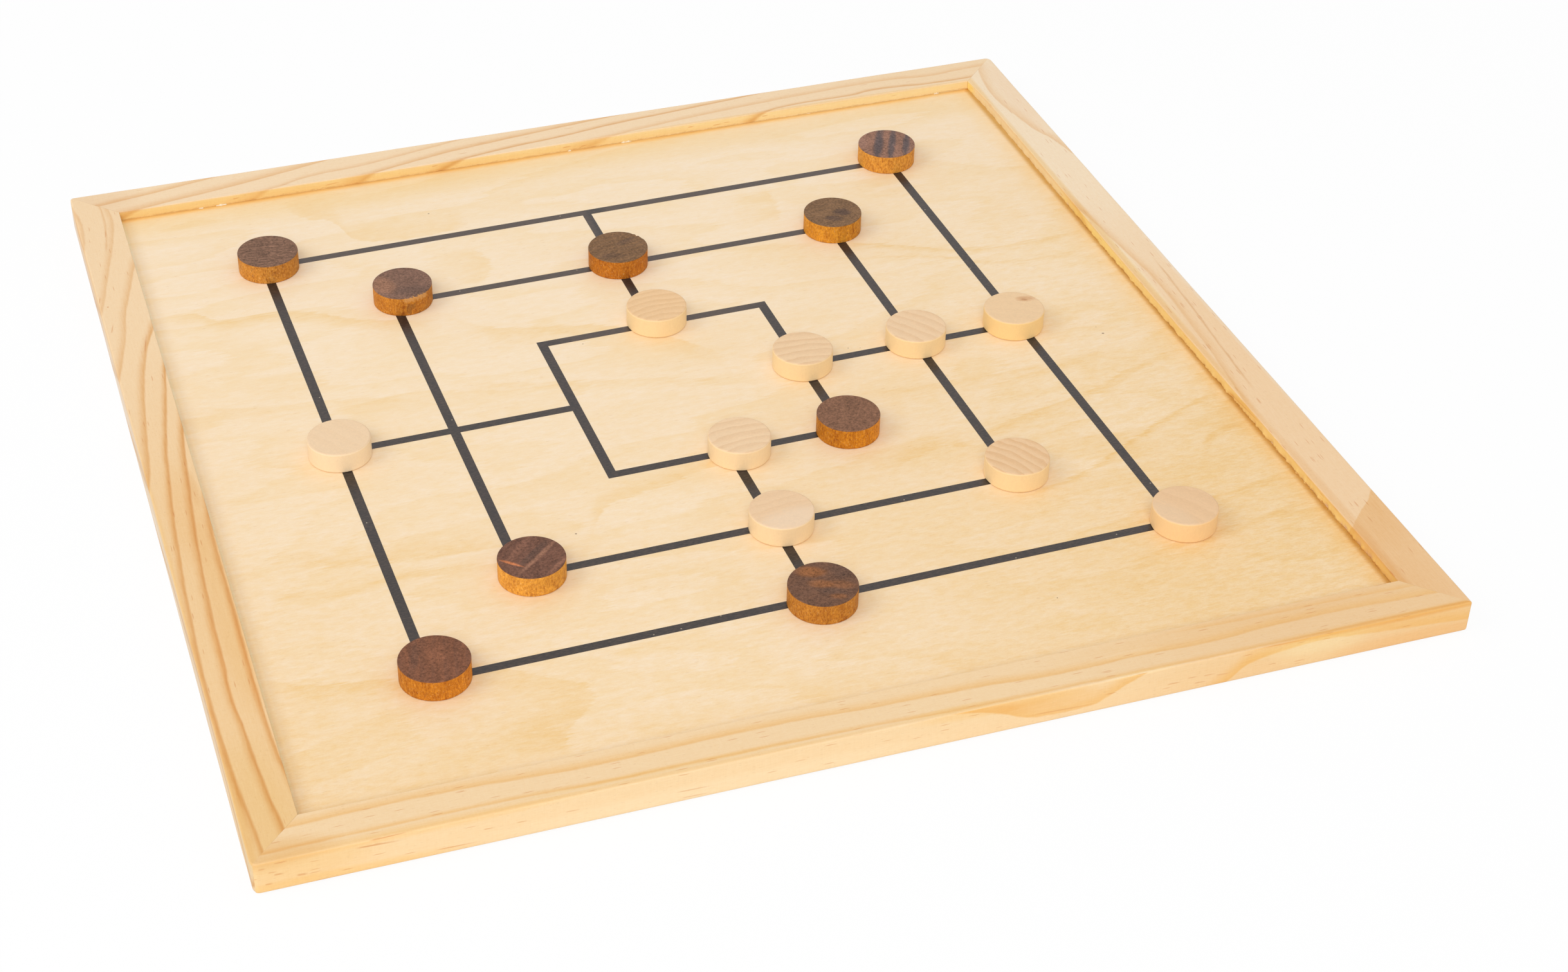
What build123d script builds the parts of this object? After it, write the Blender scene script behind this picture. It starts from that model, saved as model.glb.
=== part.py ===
from build123d import *
import os

os.makedirs("parts", exist_ok=True)

# A nine men's morris board: four mitred pine rails hold a plywood panel in a groove, the panel
# carries the printed mill, and nine dark and nine light men stand on its points.
# Millimetres, +Z up. The origin is under the middle of the board, on the table; the player's
# side, the front, is -Y.

# ---- Driving dimensions: frame ----
board_side = 510.0        # outside of the frame
rail_width = 22.0
rail_height = 16.0
corner_radius = 3.5       # upright corners of the frame, sanded round in plan
top_arris = 1.2           # outer top edge, taken off with a plane
foot_arris = 2.5          # outer bottom edge, sanded round
inner_arris = 0.5         # edges around the opening, above and below

# ---- Driving dimensions: panel ----
recess_depth = 5.0        # rail top down to the playing face
panel_thickness = 4.0
groove_depth = 7.0        # into each rail
swelling_gap = 1.0        # left between the panel's edge and the groove's floor

# ---- Driving dimensions: printed mill ----
outer_square = 333.0      # squares are measured between the middles of their lines
middle_ratio = 0.68       # middle square as a share of the outer one
inner_ratio = 1 / 3
line_width = 4.5
ink_thickness = 0.1
print_shift_x = -2.0      # the print sits a little out of register in its frame
print_shift_y = 2.0
print_turn = 0.9          # degrees, counter-clockwise from above

# ---- Driving dimensions: men ----
man_diameter = 29.0
man_height = 9.8
man_arris = 0.4           # top edge, eased by a light bevel; the foot stays as it was sawn

# ---- Derived sizes ----
opening_side = board_side - 2 * rail_width
groove_side = opening_side + 2 * groove_depth
panel_side = groove_side - 2 * swelling_gap
play_level = rail_height - recess_depth
panel_underside = play_level - panel_thickness
middle_square = middle_ratio * outer_square
inner_square = inner_ratio * outer_square
print_plane = Plane(origin=(print_shift_x, print_shift_y, play_level)).rotated((0, 0, print_turn))

# ---- Frame: each rail is a quarter of the grooved ring, cut off at its two mitres ----
rail_turns = {"front_rail": 0, "right_rail": 90, "back_rail": 180, "left_rail": 270}

for rail_name, turn in rail_turns.items():
    with BuildPart() as rail:
        with BuildSketch():
            RectangleRounded(board_side, board_side, corner_radius)
            Rectangle(opening_side, opening_side, mode=Mode.SUBTRACT)
        extrude(amount=rail_height)

        # The arrises run on round the corners, so they are worked before the mitres are cut.
        chamfer(rail.faces().sort_by(Axis.Z)[-1].outer_wire().edges(), top_arris)
        fillet(rail.faces().sort_by(Axis.Z)[0].outer_wire().edges(), foot_arris)
        for face in (rail.faces().sort_by(Axis.Z)[-1], rail.faces().sort_by(Axis.Z)[0]):
            chamfer(face.inner_wires()[0].edges(), inner_arris)

        # Groove that holds the panel's edge.
        with BuildSketch(Plane.XY.offset(panel_underside)):
            Rectangle(groove_side, groove_side)
        extrude(amount=panel_thickness, mode=Mode.SUBTRACT)

        # The two mitres meet at the middle of the board, so a triangle from there keeps one rail.
        with BuildSketch(Plane.XY.rotated((0, 0, turn))):
            with BuildLine():
                Polyline((0, 0), (-board_side, -board_side), (board_side, -board_side), close=True)
            make_face()
        extrude(amount=rail_height, mode=Mode.INTERSECT)
    rail.part.label = rail_name
    export_step(rail.part, f"parts/{rail_name}.step")

# ---- Plywood panel, held by its edges in the groove ----
with BuildPart() as play_panel:
    with BuildSketch(Plane.XY.offset(panel_underside)):
        Rectangle(panel_side, panel_side)
    extrude(amount=panel_thickness)
play_panel.part.label = "play_panel"
export_step(play_panel.part, "parts/play_panel.step")

# ---- Printed mill: three squares joined at the middles of their sides, one film of ink ----
with BuildPart() as printed_mill:
    with BuildSketch(print_plane):
        for square in (outer_square, middle_square, inner_square):
            Rectangle(square + line_width, square + line_width)
            Rectangle(square - line_width, square - line_width, mode=Mode.SUBTRACT)
        with PolarLocations((outer_square + inner_square) / 4, 4):
            Rectangle((outer_square - inner_square) / 2, line_width)
    extrude(amount=ink_thickness)
printed_mill.part.label = "printed_mill"
export_step(printed_mill.part, "parts/printed_mill.step")

# ---- Men: short lengths of dowel with eased edges, each on its point of the mill ----
# Where a man stands: the square, the point as signs of its half side (right, back), and how far
# off the point the player set it down (right, back).
dark_places = [
    (outer_square, (-1, 1), (1.9, -1.4)),
    (outer_square, (1, 1), (-0.5, 1.4)),
    (outer_square, (-1, -1), (2.1, 1.5)),
    (outer_square, (0, -1), (0.4, -3.2)),
    (middle_square, (-1, 1), (4.6, 1.6)),
    (middle_square, (0, 1), (0.7, 0.3)),
    (middle_square, (1, 1), (0.4, -2.0)),
    (middle_square, (-1, -1), (4.1, -0.4)),
    (inner_square, (1, -1), (0.4, -1.8)),
]
light_places = [
    (outer_square, (-1, 0), (0.0, -1.9)),
    (outer_square, (1, 0), (-3.1, -0.1)),
    (outer_square, (1, -1), (1.5, -1.9)),
    (middle_square, (1, 0), (-0.3, 0.3)),
    (middle_square, (0, -1), (2.2, -2.3)),
    (middle_square, (1, -1), (1.3, 1.2)),
    (inner_square, (0, 1), (2.2, 1.5)),
    (inner_square, (1, 0), (-0.2, -0.6)),
    (inner_square, (0, -1), (3.6, -2.1)),
]

for colour, places in (("dark", dark_places), ("light", light_places)):
    for number, (square, (right, back), (off_right, off_back)) in enumerate(places, start=1):
        foot_x = right * square / 2 + off_right
        foot_y = back * square / 2 + off_back
        foot = print_plane.from_local_coords(Vector(foot_x, foot_y, ink_thickness))
        with BuildPart() as man:
            with BuildSketch(Plane(origin=foot)):
                Circle(man_diameter / 2)
            extrude(amount=man_height)
            chamfer(man.edges().filter_by(GeomType.CIRCLE).sort_by(Axis.Z)[-1], man_arris)
        man_name = f"{colour}_man_{number}"
        man.part.label = man_name
        export_step(man.part, f"parts/{man_name}.step")
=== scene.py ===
"""Looks of the nine men's morris board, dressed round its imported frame.

Metres, in the frame of the part: the origin under the middle of the board, +Z up, the front rail
towards -Y. The four rails and the men are new surfaces that replace their plain solids, and the
panel and the printed mill keep theirs under new finishes.
"""

import logging
import math
from collections.abc import Callable
from dataclasses import dataclass, field
from enum import Enum
from typing import Any

import bpy
import numpy as np
from mathutils import Matrix, Vector


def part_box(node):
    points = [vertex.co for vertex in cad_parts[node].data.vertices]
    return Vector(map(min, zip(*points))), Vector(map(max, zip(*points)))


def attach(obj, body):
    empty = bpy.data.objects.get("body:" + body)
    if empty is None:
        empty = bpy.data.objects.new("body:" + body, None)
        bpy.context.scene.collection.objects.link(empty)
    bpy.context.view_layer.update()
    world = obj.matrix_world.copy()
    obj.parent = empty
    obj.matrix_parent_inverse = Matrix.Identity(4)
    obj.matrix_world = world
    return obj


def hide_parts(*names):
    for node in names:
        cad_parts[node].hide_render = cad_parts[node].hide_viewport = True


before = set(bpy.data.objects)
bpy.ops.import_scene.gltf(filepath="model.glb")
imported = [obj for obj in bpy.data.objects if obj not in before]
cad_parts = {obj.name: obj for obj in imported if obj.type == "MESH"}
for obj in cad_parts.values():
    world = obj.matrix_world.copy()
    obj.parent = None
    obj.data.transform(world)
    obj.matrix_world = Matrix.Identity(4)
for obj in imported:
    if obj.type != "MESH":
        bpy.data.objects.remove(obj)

log = logging.getLogger("morris_board")

MM = 0.001

Number = int | float
Pair = tuple[float, float]
Colour = tuple[float, float, float]
Places = tuple[Pair, ...]
Spot = tuple[float, float, float, float]


# ---- Shader bench: arithmetic on sockets, and one method that makes any node ----


def arithmetic(operation: str, first: bool = True) -> Callable[..., "Wire"]:
    """Makes a method that adds one Math node.

    Args:
        operation: the Math node's operation.
        first: whether the wire itself is the first operand, or comes after the others.

    Returns:
        The method. It takes the further operands and hands back the node's value.
    """

    def method(wire: "Wire", *others: "Wire | Number") -> "Wire":
        """Adds the node."""
        operands = (wire, *others) if first else (*others, wire)
        return wire.bench.node("ShaderNodeMath", {"operation": operation}, dict(enumerate(operands)))

    return method


class Wire:
    """An output socket that takes part in Python arithmetic by adding Math nodes."""

    __add__ = __radd__ = arithmetic("ADD")
    __sub__ = arithmetic("SUBTRACT")
    __rsub__ = arithmetic("SUBTRACT", first=False)
    __mul__ = __rmul__ = arithmetic("MULTIPLY")
    __truediv__ = arithmetic("DIVIDE")
    __pow__ = arithmetic("POWER")
    at_least = arithmetic("MAXIMUM")
    at_most = arithmetic("MINIMUM")
    fraction = arithmetic("FRACT")
    size = arithmetic("ABSOLUTE")
    bearing = arithmetic("ARCTAN2")

    def __init__(self, bench: "Bench", socket: bpy.types.NodeSocket | None) -> None:
        """Holds one output socket of a bench, or none."""
        self.bench = bench
        self.socket = socket

    def other(self, output: int | str) -> "Wire":
        """Another output of the same node."""
        return Wire(self.bench, self.socket.node.outputs[output])

    def rise(self, low: float, high: float) -> "Wire":
        """A smooth step from 0 to 1.

        Args:
            low: the value at which it leaves 0.
            high: the value at which it reaches 1. Below low, it falls instead.

        Returns:
            The step.
        """
        settings = {"interpolation_type": "SMOOTHSTEP", "clamp": True}
        ends = (low, high, 0.0, 1.0) if low <= high else (high, low, 1.0, 0.0)
        return self.bench.node("ShaderNodeMapRange", settings, dict(enumerate((self, *ends))))

    def span(self, low: float, high: float) -> "Wire":
        """Straight remap of 0..1 to low..high."""
        return self * (high - low) + low


class Bench:
    """One node tree, and the few ways in which nodes are put on it."""

    def __init__(self, owner: bpy.types.Material | bpy.types.World) -> None:
        """Clears the tree of the material or world that is worked on."""
        self.owner = owner
        owner.use_nodes = True
        self.tree = owner.node_tree
        self.tree.nodes.clear()

    @classmethod
    def for_finish(cls, name: str) -> "Bench":
        """A bench on a new material."""
        return cls(bpy.data.materials.new(name))

    def node(
        self,
        kind: str,
        settings: dict[str, Any] | None = None,
        inputs: dict[int | str, Any] | None = None,
        output: int | str = 0,
    ) -> Wire:
        """Adds any node.

        Args:
            kind: the node's type.
            settings: its properties, set first.
            inputs: values or wires for its sockets, by index or name.
            output: the socket that is handed back.

        Returns:
            The chosen output.
        """
        made = self.tree.nodes.new(kind)
        for key, value in (settings or {}).items():
            setattr(made, key, value)
        for key, value in (inputs or {}).items():
            self._plug(made.inputs[key], value)
        return Wire(self, made.outputs[output] if made.outputs else None)

    def _plug(self, socket: bpy.types.NodeSocket, value: Any) -> None:
        """Links a wire to a socket, or sets the socket's own value.

        Args:
            socket: the input.
            value: a wire, a number, a vector or a colour.
        """
        if isinstance(value, Wire):
            self.tree.links.new(value.socket, socket)
        elif socket.type == "RGBA":
            socket.default_value = (*value, 1.0)
        else:
            socket.default_value = value

    def vector(self, operation: str, inputs: dict[int | str, Any], output: int | str = 0) -> Wire:
        """One Vector Math node."""
        return self.node("ShaderNodeVectorMath", {"operation": operation}, inputs, output)

    def join(self, x: Any, y: Any, z: Any) -> Wire:
        """A vector from three numbers."""
        return self.node("ShaderNodeCombineXYZ", inputs={0: x, 1: y, 2: z})

    def parts(self, vector: Wire) -> tuple[Wire, Wire, Wire]:
        """The three numbers of a vector."""
        split = self.node("ShaderNodeSeparateXYZ", inputs={0: vector})
        return tuple(split.other(part) for part in range(3))

    def millimetres(self) -> tuple[Wire, Wire, Wire]:
        """The object coordinates x, y and z, in millimetres."""
        point = self.node("ShaderNodeTexCoord", output="Object")
        return self.parts(self.vector("MULTIPLY", {0: point, 1: (1 / MM, 1 / MM, 1 / MM)}))

    def line(self, along: Wire, points: Places) -> Wire:
        """A smooth line drawn through a few points: its height over the distance along.

        Args:
            along: the distance along, in the points' unit.
            points: (along, height), in order.

        Returns:
            The height, held level beyond the first and the last point.
        """
        first, last = points[0][0], points[-1][0]
        low = min(height for _, height in points)
        high = max(height for _, height in points) + 1e-3
        share = ((along - first) / (last - first)).at_least(0.0).at_most(1.0)
        curve = self.node("ShaderNodeFloatCurve", inputs={"Factor": 1.0, "Value": share})
        mapping = curve.socket.node.mapping
        drawn = mapping.curves[0].points
        while len(drawn) < len(points):
            drawn.new(0.5, 0.5)
        for point, (at, height) in zip(drawn, points):
            point.location = ((at - first) / (last - first), (height - low) / (high - low))
            point.handle_type = "AUTO"
        mapping.update()
        return curve.span(low, high)

    def noise(self, where: tuple[Any, Any, Any], detail: float = 3.0, rough: float = 0.5) -> Wire:
        """Soft noise from 0 to 1 over three coordinates: octaves, and how strong the finer ones are."""
        inputs = {"Vector": self.join(*where), "Scale": 1.0, "Detail": detail, "Roughness": rough}
        return self.node("ShaderNodeTexNoise", {"noise_dimensions": "3D"}, inputs)

    def cells(self, x: Wire, y: Wire) -> tuple[Wire, Wire]:
        """Scattered cell centres over a plane, one to a unit of its coordinates.

        Args:
            x: the first coordinate.
            y: the second.

        Returns:
            How far the nearest centre is, and that cell's own random number from 0 to 1.
        """
        settings = {"feature": "F1", "voronoi_dimensions": "2D"}
        inputs = {"Vector": self.join(x, y, 0.0), "Scale": 1.0}
        found = self.node("ShaderNodeTexVoronoi", settings, inputs)
        return found, self.parts(found.other("Color"))[0]

    def blend(self, share: Any, below: Any, above: Any, mode: str = "MIX") -> Wire:
        """Mixes two colours: the share, 0 to 1, is how much of the upper one shows."""
        settings = {"data_type": "RGBA", "blend_type": mode, "clamp_factor": True}
        return self.node("ShaderNodeMix", settings, {0: share, 6: below, 7: above}, output=2)

    def tint(self, share: Any, colour: Any, factor: Any) -> Wire:
        """A colour that is multiplied by another as far as the share goes."""
        return self.blend(share, colour, factor, "MULTIPLY")

    def shade(self, colour: Any, tone: Wire) -> Wire:
        """A colour times a plain tone, where 1 leaves it as it is."""
        return self.vector("SCALE", {0: colour, "Scale": tone})

    def vary(self, colour: Any, share: Wire, swing: Colour) -> Wire:
        """A colour that follows noise round its own mean.

        Args:
            colour: the colour.
            share: the noise, 0 to 1.
            swing: each channel is times 1 + swing where the noise is 0, and 1 - swing where it is 1.

        Returns:
            The colour.
        """
        light = tuple(1.0 + part for part in swing)
        dark = tuple(1.0 - part for part in swing)
        return self.tint(1.0, colour, self.blend(share, light, dark))

    def bump(self, height: Wire, strength: float, distance: float) -> Wire:
        """A normal from a height of about 0 to 1, where 1 stands for a distance in metres."""
        inputs = {"Strength": strength, "Distance": distance, "Height": height}
        return self.node("ShaderNodeBump", inputs=inputs)

    def close(self, **sockets: Any) -> bpy.types.Material:
        """Ends the tree in one Principled shader.

        Args:
            sockets: its inputs, with underscores for spaces.

        Returns:
            The finished material.
        """
        inputs = {name.replace("_", " "): value for name, value in sockets.items()}
        surface = self.node("ShaderNodeBsdfPrincipled", inputs=inputs)
        self.node("ShaderNodeOutputMaterial", inputs={"Surface": surface})
        return self.owner


def oval(x: Wire, y: Wire, centre: Pair, reach: Pair) -> Wire:
    """Square of the distance from an oval's middle, which is 1 on its outline."""
    off_x, off_y = (x - centre[0]) / reach[0], (y - centre[1]) / reach[1]
    return off_x * off_x + off_y * off_y


def turned(x: Wire, y: Wire, degrees: float) -> tuple[Wire, Wire]:
    """How far a point lies along a direction, and how far across it."""
    angle = math.radians(degrees)
    return x * math.cos(angle) + y * math.sin(angle), y * math.cos(angle) - x * math.sin(angle)


# ---- Surfaces ----


def put(name: str, data: bpy.types.ID) -> bpy.types.Object:
    """Adds an object to the scene, at the origin.

    Args:
        name: the object's name.
        data: its mesh, camera or light.

    Returns:
        The object.
    """
    made = bpy.data.objects.new(name, data)
    bpy.context.scene.collection.objects.link(made)
    return made


def surface_mesh(name: str, points: np.ndarray, crease: float = 40.0) -> bpy.types.Object:
    """Makes a closed solid from a grid of points.

    Row i of the grid is a closed ring; quads join ring i to ring i + 1, the last point of a ring
    joins its first, and one flat face closes each end ring. If the volume under the faces (a
    third of the sum of centre times face vector) comes out negative, every face is turned over.

    Args:
        name: the object's name.
        points: the grid, shape (rings, points to a ring, 3), in metres.
        crease: faces that meet at more degrees than this get a sharp edge.

    Returns:
        The object, at the origin.
    """
    rings, count, _ = points.shape
    index = np.arange(rings * count).reshape(rings, count)
    right = np.roll(index, -1, axis=1)
    quads = np.stack([index[:-1], right[:-1], right[1:], index[1:]], axis=-1).reshape(-1, 4)
    ends = [index[0, ::-1], index[-1]]
    flat = points.reshape(-1, 3)
    a, b, c, d = (flat[quads[:, k]] for k in range(4))
    volume = float(np.sum((a + b + c + d) * np.cross(c - a, d - b)))
    if volume < 0:
        quads = quads[:, ::-1]
        ends = [end[::-1] for end in ends]
    mesh = bpy.data.meshes.new(name)
    mesh.from_pydata(flat.tolist(), [], quads.tolist() + [end.tolist() for end in ends])
    mesh.polygons.foreach_set("use_smooth", np.ones(len(mesh.polygons), dtype=bool))
    mesh.set_sharp_from_angle(angle=math.radians(crease))
    mesh.update()
    return put(name, mesh)


def dress(piece: bpy.types.Object, material: bpy.types.Material) -> None:
    """Gives a piece one material."""
    piece.data.materials.clear()
    piece.data.materials.append(material)


def arc(centre: Pair, radius: float, start: float, end: float, steps: int) -> np.ndarray:
    """Points on an arc: centre + radius times (cosine, sine) of an angle that goes evenly."""
    angle = np.radians(np.linspace(start, end, steps + 1))
    return np.column_stack([centre[0] + radius * np.cos(angle), centre[1] + radius * np.sin(angle)])


def run(start: Pair, end: Pair, steps: int, lead: float = 0.0) -> np.ndarray:
    """Points inside a straight run, without its two ends.

    Args:
        start: where it starts.
        end: where it ends.
        steps: how many pieces the middle is divided into.
        lead: a first and a last point stand this far from the ends, to keep the run flat.

    Returns:
        The points, shape (n, 2).
    """
    a, b = np.array(start), np.array(end)
    length = float(np.hypot(*(b - a)))
    near = min(lead, length / 4) / length
    share = np.linspace(near, 1 - near, steps + 1) if lead else np.linspace(0, 1, steps + 1)[1:-1]
    return a + share[:, None] * (b - a)


def full_turn(steps: int) -> np.ndarray:
    """Angles all round, without the last one, as a row."""
    return np.linspace(0, 2 * math.pi, steps + 1)[:-1][None, :]


def ramp(value: np.ndarray, low: float, high: float) -> np.ndarray:
    """0 at low, 1 at high, straight in between and held level beyond; low may be the larger."""
    return np.clip((value - low) / (high - low), 0.0, 1.0)


def waver(where: np.ndarray, seed: int, longest: float, shortest: float, waves: int = 9) -> np.ndarray:
    """A smooth irregular line: the mean of sines whose lengths lie between two wavelengths.

    Args:
        where: the places along the line.
        seed: chooses the line.
        longest: the longest wave.
        shortest: the shortest wave.
        waves: how many sines are added.

    Returns:
        The height at each place, about -1 to 1.
    """
    chance = np.random.default_rng(seed)
    length = longest * (shortest / longest) ** np.linspace(0, 1, waves)
    phase = chance.uniform(0, 2 * math.pi, waves)
    share = np.sqrt(length / longest)
    wave = np.sin(2 * math.pi * where[..., None] / length + phase)
    return np.sum(share * wave, axis=-1) / np.sqrt(np.sum(share**2))


# ---- Pine rails ----


class Side(Enum):
    """The four rails of the frame."""

    FRONT = "front_rail"
    RIGHT = "right_rail"
    BACK = "back_rail"
    LEFT = "left_rail"

    @property
    def runs_along_x(self) -> bool:
        """Whether the rail runs from left to right, and not from front to back."""
        return self in (Side.FRONT, Side.BACK)

    @property
    def outer_sign(self) -> int:
        """Sign of the coordinate at which the rail's outer face stands."""
        return 1 if self in (Side.RIGHT, Side.BACK) else -1


@dataclass(frozen=True)
class Ring:
    """One growth ring where it comes out on a surface: dark wood that fades in and ends sharply.

    Attributes:
        line: places on the sharp end, (millimetres along, millimetres across).
        width: how far the dark wood reaches back from the sharp end, in millimetres.
        strength: how dark it is, 0 to 1.
        edge: how much of a thin red-brown line the sharp end has, 0 to 1.
        fade: how far it takes to fade out at the first and the last place, in millimetres.
        face_only: whether it shows only on the upright outer face.
    """

    line: Places
    width: float
    strength: float
    edge: float = 0.5
    fade: float = 0.0
    face_only: bool = False


@dataclass(frozen=True)
class Wash:
    """A soft patch of another tone.

    Attributes:
        centre: where it is, (along, across), in millimetres; below 0 it lies down the outer face.
        reach: how far it goes each way.
        tint: the colour that it multiplies the wood by.
        face_only: whether it shows only on the upright outer face.
    """

    centre: Pair
    reach: Pair
    tint: Colour
    face_only: bool = False


@dataclass(frozen=True)
class Dash:
    """A resin canal cut open along the grain: a thin red-brown stroke.

    Attributes:
        start: where it starts, (along, across), in millimetres; below 0 it lies down the outer face.
        end: where it ends.
        width: its width.
        strength: how dark it is, 0 to 1.
    """

    start: Pair
    end: Pair
    width: float = 0.5
    strength: float = 0.7


def ring_wood(
    bench: Bench,
    rings: tuple[Ring, ...],
    along: Wire,
    reach: Wire,
    on_face: Wire | None = None,
    dark_inside: bool = True,
    blur: float = 1.2,
) -> tuple[Wire, Wire]:
    """The dark wood of a set of rings.

    A ring's dark wood rises smoothly over its width up to its sharp end and falls away just
    beyond it; where rings overlap the darker one shows.

    Args:
        bench: the bench.
        rings: the rings.
        along: the distance along the wood.
        reach: the distance across, as the rings count it.
        on_face: 1 on the upright outer face.
        dark_inside: whether the dark wood lies on the low side of a sharp end.
        blur: how far the sharp end takes to fall, in millimetres.

    Returns:
        The soft dark wood and the thin line at the sharp ends, 0 to 1.
    """
    soft: Wire | None = None
    thin: Wire | None = None
    for ring in rings:
        line = bench.line(along, ring.line)
        past = reach - line if dark_inside else line - reach
        share = past.rise(blur * 0.6, -blur * 0.4) * ring.strength
        if ring.fade:
            first, last = ring.line[0][0], ring.line[-1][0]
            share = share * along.rise(first, first + ring.fade) * along.rise(last, last - ring.fade)
        if ring.face_only:
            share = share * on_face
        mellow = past.rise(-ring.width, 0.0) ** 1.15 * share
        crisp = past.rise(-1.0 - blur * 0.5, -0.05) * share * ring.edge
        soft = mellow if soft is None else soft.at_least(mellow)
        thin = crisp if thin is None else thin.at_least(crisp)
    return soft, thin


# What the pine is multiplied by in a resin canal and at the foot of the face over the panel, where torn
# fibres and painted shade in the seam darken it, and the colours of its pin marks and of the glue line in a
# mitre.
RESIN = (0.78, 0.52, 0.36)
TORN_PINE_AND_SEAM_SHADE = (0.62, 0.42, 0.26)
PIN_BROWN = (0.52, 0.27, 0.10)
MITRE_BROWN = (0.50, 0.31, 0.15)


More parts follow.
